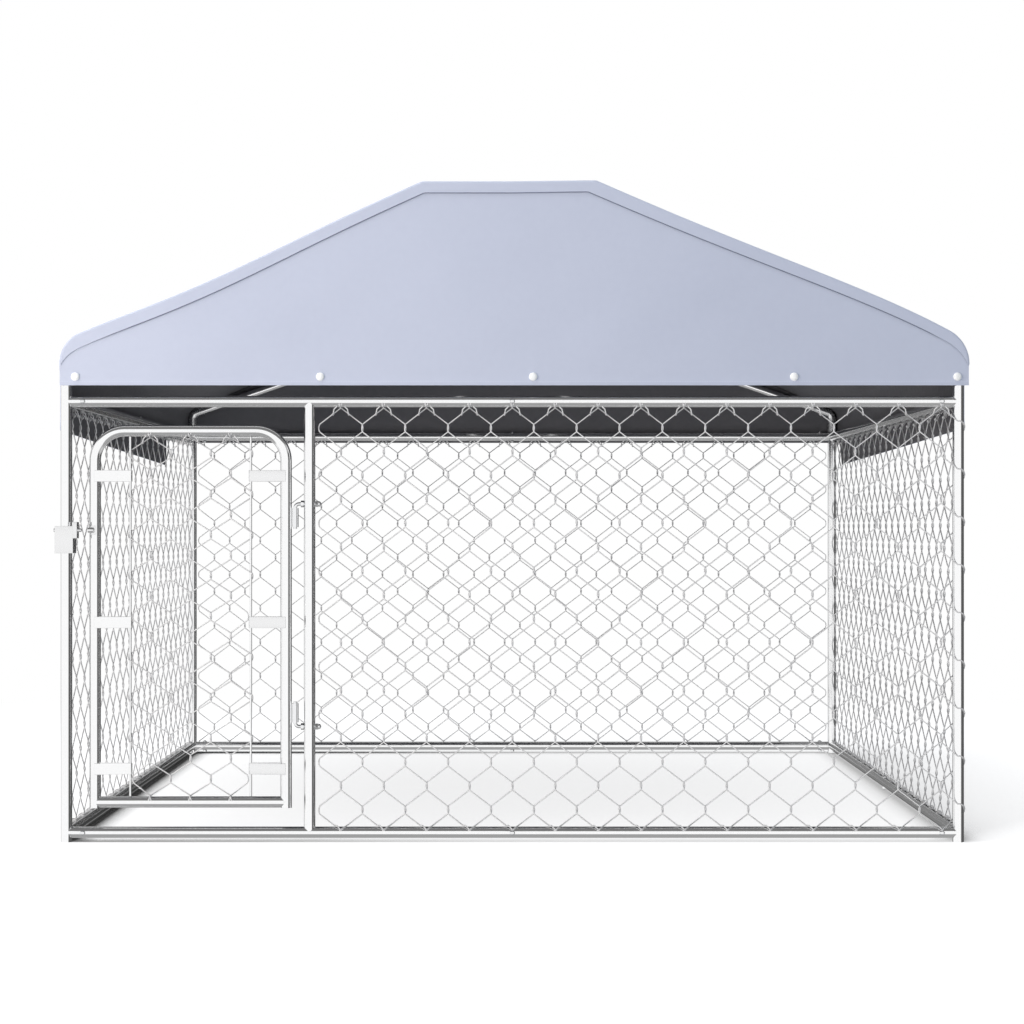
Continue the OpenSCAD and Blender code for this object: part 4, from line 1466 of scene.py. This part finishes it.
    def sheet_from(self, name: str, points: np.ndarray, flats: np.ndarray) -> bpy.types.Object:
        """Shapes a grid primitive into a sheet.

        Args:
            name: the piece's name.
            points: the sheet's points as rows by columns.
            flats: its flat coordinates in metres, for the weave.

        Returns:
            The open sheet.
        """
        rows, columns = points.shape[:2]
        put_down()
        bpy.ops.mesh.primitive_grid_add(x_subdivisions=columns - 1, y_subdivisions=rows - 1, size=1.0)
        sheet = bpy.context.object
        sheet.name = name
        mesh = sheet.data
        count = len(mesh.vertices)
        spots = np.empty(count * 3)
        mesh.vertices.foreach_get("co", spots)
        spots = spots.reshape(count, 3)
        column = np.rint((spots[:, 0] + 0.5) * (columns - 1)).astype(int)
        row = np.rint((spots[:, 1] + 0.5) * (rows - 1)).astype(int)
        mesh.vertices.foreach_set("co", points[row, column].ravel())
        corners = np.empty(len(mesh.loops), dtype=int)
        mesh.loops.foreach_get("vertex_index", corners)
        layer = mesh.uv_layers.active or mesh.uv_layers.new(name="flat")
        layer.uv.foreach_set("vector", flats[row[corners], column[corners]].astype(np.float32).ravel())
        mesh.update()
        return sheet

    def cut_valance(self, sheet: bpy.types.Object, side: int, foot: Point, lean: Point) -> None:
        """Cuts a valance off at its rear end, up to the rear panel's hem.

        Args:
            sheet: the roof sheet.
            side: -1 for the left valance, 1 for the right one.
            foot: a point on the cut.
            lean: the cut's normal, pointing to the piece that is taken off.
        """
        take_up(sheet)
        bpy.ops.object.mode_set(mode="EDIT")
        mesh = bmesh.from_edit_mesh(sheet.data)
        inner = self.run.post_x - self.valance_depth

        def near(face: bmesh.types.BMFace) -> bool:
            """Tells whether a face lies on the valance near the cut."""
            spot = face.calc_center_median()
            low = spot.z < self.eave_z - self.run.roof_fall
            return low and side * spot.x > inner and spot.y > foot[1] - self.cut_margin

        for plane_co, plane_no in ((foot, lean), ((0.0, 0.0, self.rear_hem_z), (0.0, 0.0, 1.0))):
            for face in mesh.faces:
                face.select_set(near(face))
            bmesh.update_edit_mesh(sheet.data)
            bpy.ops.mesh.bisect(plane_co=plane_co, plane_no=plane_no)
            mesh = bmesh.from_edit_mesh(sheet.data)
        for face in mesh.faces:
            spot = face.calc_center_median()
            past = (spot - Vector(foot)).dot(Vector(lean)) > 0.0
            face.select_set(near(face) and past and spot.z < self.rear_hem_z)
        bmesh.update_edit_mesh(sheet.data)
        bpy.ops.mesh.delete(type="FACE")
        bpy.ops.object.mode_set(mode="OBJECT")

    def mark_hems(self, sheet: bpy.types.Object, distance: Callable[[Vector], float],
                  along: Callable[[Vector], float]) -> None:
        """Marks a sheet's hems for thickening and the way along them for their stitches.

        Args:
            sheet: the sheet.
            distance: gives a point's distance from the nearest hem.
            along: gives a point's place along that hem.
        """
        mesh = sheet.data
        gaps = [distance(vertex.co) for vertex in mesh.vertices]
        ways = [along(vertex.co) for vertex in mesh.vertices]
        for label, values in (("hem_distance", gaps), ("hem_along", ways)):
            mesh.attributes.new(label, "FLOAT", "POINT").data.foreach_set("value", values)
        group = sheet.vertex_groups.new(name="hem")
        group.add([index for index, gap in enumerate(gaps) if gap < self.hem_w], 1.0, "REPLACE")

    def thicken(self, sheet: bpy.types.Object, faces: Sequence[bpy.types.Material]) -> None:
        """Gives a sheet its thickness, doubled at the hems, and its dark lining.

        Args:
            sheet: the open sheet.
            faces: the cloth's outer and inner finish.
        """
        for face in faces:
            sheet.data.materials.append(face)
        solid = sheet.modifiers.new("cloth", "SOLIDIFY")
        solid.thickness = 2.0 * self.cloth
        solid.offset = 0.0
        solid.vertex_group = "hem"
        solid.thickness_vertex_group = 0.5
        solid.material_offset = 1
        solid.use_even_offset = False
        apply_all(sheet)
        smooth(sheet, 50.0)

    def roof_sheet(self, points: np.ndarray, flats: np.ndarray, finishes: Finishes) -> bpy.types.Object:
        """Makes the roof sheet with its valances and folded bands.

        Args:
            points: the roof sheet's grid of points.
            flats: its flat coordinates.
            finishes: the run's materials.

        Returns:
            The roof sheet.
        """
        sheet = self.sheet_from("cloth_roof", points, flats)
        self.cut_valance(sheet, -1, (-self.run.post_x, self.left_cut_y, self.rear_hem_z), (0.0, 1.0, 0.0))
        lean = Vector((0.0, *self.right_cut_run)).normalized()
        self.cut_valance(sheet, 1, (self.run.post_x, self.right_cut_y, self.right_hem[1]),
                         (0.0, lean.z, -lean.y))

        def hem_gap(spot: Vector) -> float:
            """Distance from the valance's hem, or far off on the roof."""
            if abs(spot.x) < self.run.post_x - self.valance_depth:
                return 1.0
            share = min(max((spot.y / self.run.post_y + 1.0) / 2.0, 0.0), 1.0)
            return spot.z - float(self.hem_z(np.array(spot.x), share))

        self.mark_hems(sheet, hem_gap, lambda spot: spot.y)
        flat = (float(flats[:, -1, 0].max()), float(flats[-1, 0, 1]))
        self.thicken(sheet, [finishes.cloth, finishes.lining])
        finish_piece(sheet, Body.FRAME, [], ["cover_roof"])
        self.roof_flat = flat
        return sheet

    def gable(self, name: str, end: int, node: str, hem: float, roof: np.ndarray, finishes: Finishes) -> None:
        """Makes the panel that closes a gable, tucked under the roof sheet's band.

        Args:
            name: the piece's name.
            end: -1 for the front, 1 for the rear.
            node: the frame's node that it stands for.
            hem: height of its hem.
            roof: the roof sheet's grid of points.
            finishes: the run's materials.
        """
        inset = self.counts["band"] + self.counts["fold"]
        rim = roof[inset] if end < 0 else roof[-1 - inset]
        bow = self.bow()
        tuck = self.panel_tuck[0] - self.panel_tuck[1] * np.abs(bow[:, 2:3]) ** 3
        edge = rim[:, (0, 2)] - bow[:, 2:4] * tuck
        above = bow[:, 4] < 0.0
        outline = edge[above]
        left, right = outline[0, 0], outline[-1, 0]
        across = np.unique(np.concatenate((outline[:, 0], np.linspace(left, right, self.panel_columns))))
        top = np.interp(across, outline[:, 0], outline[:, 1])
        rise = np.concatenate((np.linspace(0.0, self.hem_w, self.panel_hem_rows),
                               np.linspace(self.hem_w, 1.0, self.panel_rows)[1:]))
        points, flats = [], []
        for step, level in enumerate(rise):
            share = max(0.0, level - self.hem_w) / (1.0 - self.hem_w)
            z = hem + level
            if step >= self.panel_hem_rows:
                z = hem + self.hem_w + (top - hem - self.hem_w) * share
            z = np.broadcast_to(z, across.shape)
            room = np.minimum(top - z - self.relief_top, z - hem + self.relief_hem)
            room = np.clip(room / self.relief_run, 0.0, 1.0)
            room = room * np.clip((right - np.abs(across)) / self.relief_side, 0.0, 1.0)
            relief = self.unevenness * room * (1.0 + self.ripple(2.0 * across, 3.0 * z))
            back = 0.0
            if end > 0:
                back = self.wall_room * np.clip((self.rear_room_z - z) / self.rear_room_run, 0.0, 1.0)
            y = end * (self.panel_y + relief + back)
            y = np.broadcast_to(y, across.shape)
            points.append(np.stack((across, y, z), axis=1))
            flats.append(np.stack((across, z), axis=1))
        grid, flat = np.array(points), np.array(flats)
        if end > 0:
            grid, flat = grid[:, ::-1], flat[:, ::-1]
        panel = self.sheet_from(name, grid, flat)
        self.mark_hems(panel, lambda spot: spot.z - hem, lambda spot: spot.x)
        # The rear panel's inner face takes the lining's lighter copy, which paints light on it.
        self.thicken(panel, [finishes.cloth, finishes.gable_lining if end > 0 else finishes.lining])
        finish_piece(panel, Body.FRAME, [], [node])

    def shadow_cord(self, name: str, end: int, roof: np.ndarray, finishes: Finishes) -> bpy.types.Object:
        """Makes a thin dark cord along a folded band's edge: a painted shadow line under the band's lap,
        thinner towards the eaves.

        Args:
            name: the piece's name.
            end: -1 for the front, 1 for the rear.
            roof: the roof sheet's grid of points.
            finishes: the run's materials.

        Returns:
            The shadow cord.
        """
        edge = roof[0] if end < 0 else roof[-1]
        over = self.bow()[:, 4] < 0.0
        path = [(float(x), float(y) + self.shadow_cord_proud * end, float(z)) for x, y, z in edge[over]]
        across = edge[over][:, 0]
        fade = np.where(across < 0.0, *self.shadow_cord_fade)
        ends = np.clip((self.run.post_x - self.shadow_cord_stop - np.abs(across)) / fade, self.shadow_cord_thin, 1.0)
        cord = swept_wire(name, path, self.shadow_cord_r, thickness=ends.tolist())
        finish_piece(cord, Body.FRAME, [finishes.shadow_cord])
        return cord

    def build(self, finishes: Finishes) -> None:
        """Makes the whole cover."""
        points, flats = self.roof_points()
        roof = self.roof_sheet(points, flats, finishes)
        self.sprung_rafter(finishes)
        self.rear_bows(finishes)
        # Dark cords along the front and rear bands' edges: painted shadow lines under the laps.
        for name, end in (("seam_shadow_front", -1), ("seam_shadow_rear", 1)):
            self.shadow_cord(name, end, points, finishes)
        self.gable("cloth_front_panel", -1, "cover_front_panel", self.front_hem_z, points, finishes)
        self.gable("cloth_rear_panel", 1, "cover_rear_panel", self.rear_hem_z, points, finishes)


@dataclass
class HemStuds:
    """White domed studs along the front and rear hems."""

    cover: Cover
    radius: float = 0.0093
    height: float = 0.0064
    places: tuple[float, ...] = (-0.9655, -0.4245, 0.046, 0.6225, 0.983)
    front_z: float = 1.029
    rear_z: float = 1.007
    profile: Pairs = ((0.3, 0.0), (0.93, 0.0), (1.0, 0.08), (1.0, 0.22), (0.95, 0.42),
                      (0.84, 0.64), (0.64, 0.84), (0.38, 0.96), (0.1, 1.0))

    def build(self, finishes: Finishes) -> bpy.types.Object:
        """Turns one stud and sets copies along both hems."""
        pattern = turned("stud", [(self.radius * wide, self.height * up) for wide, up in self.profile], 28)
        face = self.cover.panel_y + self.cover.cloth / 2.0
        places = []
        for end, z, back in ((-1, self.front_z, 0.0), (1, self.rear_z, self.cover.wall_room)):
            turn = (-end * math.pi / 2.0, 0.0, 0.0)
            places += [((-end * x, end * (face + back), z), turn) for x in self.places]
        studs = set_out("hem_studs", pattern, places, 60.0)
        finish_piece(studs, Body.FRAME, [finishes.stud], ["cover_studs"])
        return studs


# Fittings


@dataclass
class RailBolts:
    """Domed bolts through the rails' ends and middles: level on the front, upright on the other walls."""

    run: RunFrame
    inset: float = 0.038
    seat: float = 0.0126
    head_r: float = 0.006
    head_h: float = 0.004
    shank_r: float = 0.003
    shank_end: float = -0.0186
    point_h: float = 0.001
    profile: Pairs = ((1.0, 0.0), (1.0, 0.2), (0.95, 0.42), (0.83, 0.66), (0.62, 0.86), (0.36, 0.97),
                      (0.1, 1.0))

    def build(self, finishes: Finishes) -> bpy.types.Object:
        """Turns one bolt and sets copies through every rail."""
        rings = [(0.7 * self.shank_r, self.shank_end), (self.shank_r, self.shank_end + self.point_h),
                 (self.shank_r, self.seat)]
        rings += [(self.head_r * wide, self.seat + self.head_h * up) for wide, up in self.profile]
        upright, level = (0.0, 0.0, 0.0), (math.pi / 2.0, 0.0, 0.0)
        post_x, post_y = self.run.post_x, self.run.post_y
        places = []
        for z in (self.run.bottom_z, self.run.top_z):
            for step in (-1.0, 0.0, 1.0):
                x, y = step * (post_x - self.inset), step * (post_y - self.inset)
                places += [((x, -post_y, z), level), ((x, post_y, z), upright),
                           ((-post_x, y, z), upright), ((post_x, y, z), upright)]
        bolts = set_out("domed_rail_bolts", turned("rail_bolt", rings, 20), places, 50.0)
        finish_piece(bolts, Body.FRAME, [finishes.hardware], ["rail_bolts"])
        return bolts


@dataclass
class AcornNuts:
    """Dome nuts on the hinge bolts' ends."""

    flats: float = 0.013
    hex_h: float = 0.0065
    dome_r: float = 0.0061
    hex_profile: Pairs = ((0.88, 0.0), (1.0, 0.12), (1.0, 0.88), (0.9, 1.0))
    dome_profile: Pairs = ((1.0, -0.02), (1.0, 0.2), (0.93, 0.45), (0.78, 0.7), (0.52, 0.9), (0.12, 1.0))

    def build(self, finishes: Finishes) -> bpy.types.Object:
        """Turns a hexagon and its dome, and sets both nuts on the door post."""
        low, high = box_of("hinge_dome_nuts")
        corner_r, h = self.flats / 2.0 / math.cos(math.pi / 6.0), self.hex_h
        six = turned("nut", [(corner_r * wide, h * up) for wide, up in self.hex_profile], 6)
        dome = turned("dome", [(self.dome_r * wide, h + h * up) for wide, up in self.dome_profile], 24)
        turn = (0.0, math.pi / 2.0, 0.0)
        places = [((low.x, (low.y + high.y) / 2.0, z), turn) for z in (low.z + corner_r, high.z - corner_r)]
        nuts = set_out("acorn_nuts", join("acorn", [six, dome]), places, 35.0)
        finish_piece(nuts, Body.FRAME, [finishes.hardware], ["hinge_dome_nuts"])
        return nuts


@dataclass
class DoorStraps:
    """Flat bands that hold the door's net rods to its stiles."""

    run: RunFrame
    gauge: float = 0.0018
    gap: float = 0.0002

    def path(self, stile: float, rod: float) -> list[tuple[float, float]]:
        """Lists a band's line from the stile's front, round the rod, to the stile's back.

        Args:
            stile: place of the stile's axis along the wall.
            rod: place of the rod's axis along the wall.

        Returns:
            The line's points, seen from above.
        """
        wide, tight = (r + self.gap + self.gauge / 2.0 for r in (self.run.tube_r, self.run.rod_r))
        out = math.copysign(1.0, rod - stile)
        lean = math.asin((wide - tight) / abs(rod - stile))
        turns = [(stile, wide, lean * share) for share in (0.0, 0.5, 1.0)]
        turns += [(rod, tight, angle) for angle in np.linspace(lean, math.pi - lean, 12)]
        turns += [(stile, wide, math.pi - lean * share) for share in (1.0, 0.5, 0.0)]
        wall = -self.run.post_y
        return [(axis + out * r * math.sin(angle), wall - r * math.cos(angle)) for axis, r, angle in turns]

    def build(self, finishes: Finishes) -> None:
        """Bends one band for each side and sets copies at the three heights."""
        hoop_low, hoop_high = box_of("door_hoop")
        sides = (("left", hoop_low.x + self.run.tube_r, self.run.rod_left),
                 ("right", hoop_high.x - self.run.tube_r, self.run.rod_right))
        for side, stile, rod in sides:
            copies = []
            for low, high in self.run.strap_spans:
                band = bent_strip("band", self.path(stile, rod), high - low, self.gauge)
                settle(band, (0.0, 0.0, (low + high) / 2.0))
                copies.append(band)
            bands = join(f"strap_bands_{side}", copies)
            # The left bands take the brighter tube finish, the right ones the plate finish: one kind of band,
            # the left ones' extra brightness a painted highlight.
            finish = finishes.tube if side == "left" else finishes.plate
            finish_piece(bands, Body.DOOR, [finish], [f"door_straps_{side}"])


@dataclass
class SlideLatch:
    """A slide bolt in a pressed case on the corner post, and the cup on the door that takes it."""

    run: RunFrame
    gauge: float = 0.0018
    case_front: float = 0.0006
    wall_out: float = 0.0025
    wall_back: float = -0.9765
    wall_top: float = 0.6745
    case_right: float = 0.0050
    tab_fold: float = 0.0520
    tab_line: Pairs = ((-0.0105, 0.0), (-0.0016, 0.0), (-0.0004, 0.0005), (0.0, 0.0017), (0.0, 0.0195))
    bolt_cut: float = 0.0015
    bolt_tail: Pairs = ((0.75, 0.0), (0.95, 0.0006), (1.0, 0.0014))
    bolt_nose: Pairs = ((1.0, 0.004), (0.9, 0.0016), (0.65, 0.0004), (0.3, 0.0))
    cup_r: float = 0.0058
    cup_bore: float = 0.0043
    cup_l: float = 0.013
    cup_floor: float = 0.002
    cup_foot: Pairs = ((0.85, 0.0), (1.0, 0.0008))
    cup_rim: Pairs = ((1.0, 0.0006), (0.94, 0.0))
    saddle_h: float = 0.020
    saddle_gauge: float = 0.0010
    saddle_gap: float = 0.0002
    saddle_turns: tuple[float, float, float] = (-42.0, 19.0, 6.0)
    neck_in: float = 0.0060
    neck_out: float = 0.0145
    neck_size: Point = (0.007, 0.0055, 0.006)
    neck_ease: float = 0.0008

    def case(self, finishes: Finishes) -> None:
        """Folds the case: open behind, and open on the right where the bolt comes out above its low wall."""
        low, high = box_of("latch_plate")
        low.y += self.case_front
        low.x += self.case_right
        plate_back = high.y
        high.x += self.wall_out + self.case_right
        high.y = self.wall_back
        put_down()
        bpy.ops.mesh.primitive_cube_add(size=1.0, location=(low + high) / 2.0, scale=high - low)
        case = bpy.context.object
        bpy.ops.object.transform_apply(location=True, rotation=True, scale=True)
        bpy.ops.object.mode_set(mode="EDIT")
        cuts = (((0.0, 0.0, self.wall_top), (0.0, 0.0, 1.0)), ((0.0, plate_back, 0.0), (0.0, 1.0, 0.0)))
        for place, normal in cuts:
            bpy.ops.mesh.select_all(action="SELECT")
            bpy.ops.mesh.bisect(plane_co=place, plane_no=normal)
        mesh = bmesh.from_edit_mesh(case.data)
        for face in mesh.faces:
            spot = face.calc_center_median()
            on_right = face.normal.x > 0.5
            low_wall = on_right and spot.z < self.wall_top
            behind = spot.y > plate_back and not low_wall
            face.select_set(behind or (on_right and not low_wall))
        bmesh.update_edit_mesh(case.data)
        bpy.ops.mesh.delete(type="FACE")
        bpy.ops.object.mode_set(mode="OBJECT")
        case.name = "latch_case"
        solid = case.modifiers.new("gauge", "SOLIDIFY")
        solid.thickness = self.gauge
        solid.offset = -1.0
        ease_edges(case, 0.4 * self.gauge)
        finish_piece(case, Body.FRAME, [finishes.plate], ["latch_plate"])
        case.visible_glossy = False

    def slide(self, finishes: Finishes) -> None:
        """Turns the bolt and folds its finger tab."""
        low, high = box_of("latch_bolt")
        r, length = (high.y - low.y) / 2.0, high.x - low.x - self.bolt_cut
        middle = (low + high) / 2.0
        rings = [(wide * r, along) for wide, along in self.bolt_tail]
        rings += [(wide * r, length - along) for wide, along in self.bolt_nose]
        bolt = turned("bolt", rings)
        settle(bolt, (low.x, middle.y, middle.z), (0.0, math.pi / 2.0, 0.0))
        smooth(bolt, 50.0)
        front, fold = low.y - self.gauge / 2.0, low.x + self.tab_fold
        line = [(fold + right, front + back) for right, back in self.tab_line]
        tab = bent_strip("tab", line, high.z - low.z, self.gauge)
        settle(tab, (0.0, 0.0, middle.z))
        slide = join("latch_slide", [bolt, tab])
        finish_piece(slide, Body.LATCH, [finishes.plate], ["latch_bolt"])

    def keeper(self, finishes: Finishes) -> None:
        """Sets a cup for the bolt on a saddle that hugs the door's stile."""
        low = box_of("latch_keeper")[0]
        bolt_low, bolt_high = box_of("latch_bolt")
        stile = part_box("door_hoop")[0][0] + self.run.tube_r
        axis_y, z = (bolt_low.y + bolt_high.y) / 2.0, (bolt_low.z + bolt_high.z) / 2.0
        r, length = self.cup_r, self.cup_l
        rings = [(wide * r, along) for wide, along in self.cup_foot]
        rings += [(wide * r, length - along) for wide, along in self.cup_rim]
        cup = turned("cup", [*rings, (self.cup_bore, length), (self.cup_bore, self.cup_floor)])
        settle(cup, (low.x + length, axis_y, z), (0.0, -math.pi / 2.0, 0.0))
        ring = self.run.tube_r + self.saddle_gap + self.saddle_gauge / 2.0
        arc = [(stile + ring * math.sin(turn), -self.run.post_y - ring * math.cos(turn))
               for turn in np.radians(np.arange(*self.saddle_turns))]
        saddle = bent_strip("saddle", arc, self.saddle_h, self.saddle_gauge)
        settle(saddle, (0.0, 0.0, z))
        put_down()
        middle = (low.x + self.neck_in, -self.run.post_y - self.neck_out, z)
        bpy.ops.mesh.primitive_cube_add(size=1.0, location=middle, scale=self.neck_size)
        neck = bpy.context.object
        bpy.ops.object.transform_apply(location=True, rotation=True, scale=True)
        ease_edges(neck, self.neck_ease)
        smooth(cup, 40.0)
        keeper = join("keeper_cup", [saddle, neck, cup])
        finish_piece(keeper, Body.DOOR, [finishes.plate], ["latch_keeper", "keeper_screws"])

    def build(self, finishes: Finishes) -> None:
        """Makes the latch's three pieces."""
        self.case(finishes)
        self.slide(finishes)
        self.keeper(finishes)


# Studio


@dataclass(frozen=True)
class Lamp:
    """A square soft light: its name, place, aim, side in metres, power in watts and colour."""

    name: str
    place: Point
    aim: Point
    size: float
    power: float
    tint: Colour = (1.0, 1.0, 1.0)

    def hang(self) -> None:
        """Hangs the light in the studio, out of mirror reflections."""
        turn = (Vector(self.aim) - Vector(self.place)).to_track_quat("-Z", "Y").to_euler()
        put_down()
        bpy.ops.object.light_add(type="AREA", location=self.place, rotation=turn)
        light = bpy.context.object
        light.name = self.name
        light.data.size = self.size
        light.data.energy = self.power
        light.data.color = self.tint
        light.visible_glossy = False


@dataclass
class Studio:
    """The camera, the lights and the pale floor."""

    effects: Effects
    eye: Point = (-0.0008, -5.99, 0.698)
    lens: float = 79.4
    sensor: float = 36.0
    rise: float = 0.0142
    floor_size: float = 80.0
    floor_near: float = 1.75
    floor_far: float = 3.6
    floor_tint: Colour = (0.78, 0.78, 0.78)
    shaded_tint: Colour = (0.40, 0.40, 0.40)
    inside: float = 1.0
    samples: int = 8
    sky_reach: float = 2.0
    sky_glow: Span = (0.35, 0.9, 0.745, 0.81)
    contact_reach: float = 0.055
    contact_across: Span = (-0.95, 0.1, 2.7, 0.8)
    contact_deep: Span = (-1.0, -0.93, 0.3, 1.0)
    side_reach: float = 0.5
    side_toward: Point = (-0.76, -0.25, 0.6)
    side_slant: float = -1.5
    side_depth: Span = (-2.6, -2.38, 0.0, 0.9)
    shade_limit: float = 0.97
    white: Colour = (1.0, 1.0, 1.0)
    even_tint: Colour = (0.955, 0.995, 1.06)
    even_strength: float = 0.555
    lamps: tuple[Lamp, ...] = (
        Lamp("key", (-3.6, -4.0, 0.9), (-0.3, -0.9, 0.9), 2.0, 117.0, (1.0, 0.885, 0.80)),
        Lamp("top", (-2.0, -1.2, 4.6), (0.0, 0.0, 0.6), 3.0, 112.0))

    def camera(self) -> None:
        """Sets a level camera in front of the run."""
        put_down()
        bpy.ops.object.camera_add(location=self.eye, rotation=(math.pi / 2.0, 0.0, 0.0))
        camera = bpy.context.object
        camera.name = "front_camera"
        camera.data.lens = self.lens
        camera.data.sensor_width = self.sensor
        camera.data.shift_y = self.rise
        bpy.context.scene.camera = camera

    def closeness(self, tree: bpy.types.NodeTree, reach: float) -> bpy.types.Node:
        """Adds a node that tells how open the floor's surroundings are within a reach in metres."""
        return add_node(tree, "ShaderNodeAmbientOcclusion", samples=self.samples, values={"Distance": reach})

    def contact_shade(self, tree: bpy.types.NodeTree, place: bpy.types.Node) -> bpy.types.NodeSocket:
        """Gives the floor's darkness close under the run, deepest at the left.

        Args:
            tree: the floor's tree.
            place: the place on the floor, split into X, Y and Z.

        Returns:
            The darkness.
        """
        under = math_node(tree, "SUBTRACT", 1.0, self.closeness(tree, self.contact_reach).outputs["AO"])
        under = math_node(tree, "MULTIPLY", under, spread(tree, place.outputs["X"], *self.contact_across))
        under = math_node(tree, "MULTIPLY", under, spread(tree, place.outputs["Y"], *self.contact_deep))
        for axis in ("X", "Y"):
            inside = math_node(tree, "GREATER_THAN", place.outputs[axis], -self.inside)
            under = math_node(tree, "MULTIPLY", under, inside)
        return under

    def side_shade(self, tree: bpy.types.NodeTree, place: bpy.types.Node) -> bpy.types.NodeSocket:
        """Gives the floor's darkness beyond the run's right side, cut off along a slanted line.

        Args:
            tree: the floor's tree.
            place: the place on the floor, split into X, Y and Z.

        Returns:
            The darkness.
        """
        toward = add_node(tree, "ShaderNodeCombineXYZ", values=dict(zip("XYZ", self.side_toward)))
        wide = self.closeness(tree, self.side_reach)
        tree.links.new(toward.outputs[0], wide.inputs["Normal"])
        slant = math_node(tree, "MULTIPLY", place.outputs["X"], self.side_slant)
        slant = math_node(tree, "ADD", slant, place.outputs["Y"])
        beside = math_node(tree, "MULTIPLY", spread(tree, slant, *self.side_depth),
                           math_node(tree, "GREATER_THAN", place.outputs["X"], self.inside))
        return math_node(tree, "MULTIPLY", beside, math_node(tree, "SUBTRACT", 1.0, wide.outputs["AO"]))

    def floor(self) -> None:
        """Lays a pale floor that reads white and keeps the run's shadow."""
        put_down()
        bpy.ops.mesh.primitive_plane_add(size=self.floor_size, location=(0.0, 0.0, 0.0))
        floor = bpy.context.object
        floor.name = "studio_floor"
        material, tree, shader = Workshop.start("studio floor")
        tree.nodes.remove(shader)
        paths = add_node(tree, "ShaderNodeLightPath")
        away = add_node(tree, "ShaderNodeVectorMath", operation="LENGTH")
        tree.links.new(Workshop.coordinates(tree), away.inputs[0])
        far = spread(tree, away.outputs["Value"], self.floor_near, self.floor_far, 0.0, 1.0)
        plain = add_node(tree, "ShaderNodeBsdfDiffuse", values={"Color": (*self.floor_tint, 1.0)})
        shaded = add_node(tree, "ShaderNodeBsdfDiffuse", values={"Color": (*self.shaded_tint, 1.0)})
        glow = add_node(tree, "ShaderNodeEmission", values={"Color": (*self.white, 1.0)})
        sky = self.closeness(tree, self.sky_reach)
        tree.links.new(spread(tree, sky.outputs["AO"], *self.sky_glow), glow.inputs["Strength"])
        white = add_node(tree, "ShaderNodeEmission", values={"Color": (*self.white, 1.0), "Strength": 1.0})
        mirrored = add_node(tree, "ShaderNodeBsdfTransparent")
        near = add_node(tree, "ShaderNodeAddShader")
        tree.links.new(shaded.outputs[0], near.inputs[0])
        tree.links.new(glow.outputs[0], near.inputs[1])
        place = add_node(tree, "ShaderNodeSeparateXYZ")
        tree.links.new(Workshop.coordinates(tree), place.inputs[0])
        shade = math_node(tree, "ADD", self.contact_shade(tree, place), self.side_shade(tree, place))
        shade = math_node(tree, "MINIMUM", shade, self.shade_limit)
        dark = add_node(tree, "ShaderNodeEmission", values={"Strength": 0.0})
        lit = mixed(tree, paths.outputs["Is Glossy Ray"], plain, mirrored)
        ground = mixed(tree, shade, mixed(tree, far, near, white), dark)
        seen = mixed(tree, paths.outputs["Is Camera Ray"], lit, ground)
        tree.links.new(seen.outputs[0], tree.nodes["Material Output"].inputs["Surface"])
        floor.data.materials.append(material)

    def world(self) -> None:
        """Builds the surroundings: white to the camera, an even soft glow, and panels for reflections."""
        world = bpy.data.worlds.new("studio")
        bpy.context.scene.world = world
        world.use_nodes = True
        tree = world.node_tree
        tree.nodes.clear()
        paths = add_node(tree, "ShaderNodeLightPath")
        panels = Workshop.effect(tree, self.effects.panels, Workshop.coordinates(tree, "Generated"))
        mirror = add_node(tree, "ShaderNodeBackground")
        tree.links.new(panels.outputs["Value"], mirror.inputs["Color"])
        even = add_node(tree, "ShaderNodeBackground",
                        values={"Color": (*self.even_tint, 1.0), "Strength": self.even_strength})
        white = add_node(tree, "ShaderNodeBackground", values={"Color": (*self.white, 1.0), "Strength": 1.0})
        lit = mixed(tree, paths.outputs["Is Glossy Ray"], even, mirror)
        seen = mixed(tree, paths.outputs["Is Camera Ray"], lit, white)
        tree.links.new(seen.outputs[0], add_node(tree, "ShaderNodeOutputWorld").inputs["Surface"])

    def build(self) -> None:
        """Sets up the whole studio."""
        self.camera()
        self.floor()
        self.world()
        for lamp in self.lamps:
            lamp.hang()
        bpy.context.scene.view_settings.view_transform = "Standard"


def main() -> None:
    """Loads the frame, dresses it and sets up the studio."""
    logging.basicConfig(level=logging.INFO, format="%(name)s %(message)s")
    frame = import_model()
    effects = Effects()
    Studio(effects).build()
    run = RunFrame.read()
    finishes = Finishes(effects)
    finishes.dress_frame(frame["nodes"])
    for net in all_nets(run):
        net.build(finishes)
    cover = Cover(run)
    cover.build(finishes)
    HemStuds(cover).build(finishes)
    RailBolts(run).build(finishes)
    AcornNuts().build(finishes)
    DoorStraps(run).build(finishes)
    SlideLatch(run).build(finishes)


if __name__ == "__main__":
    main()
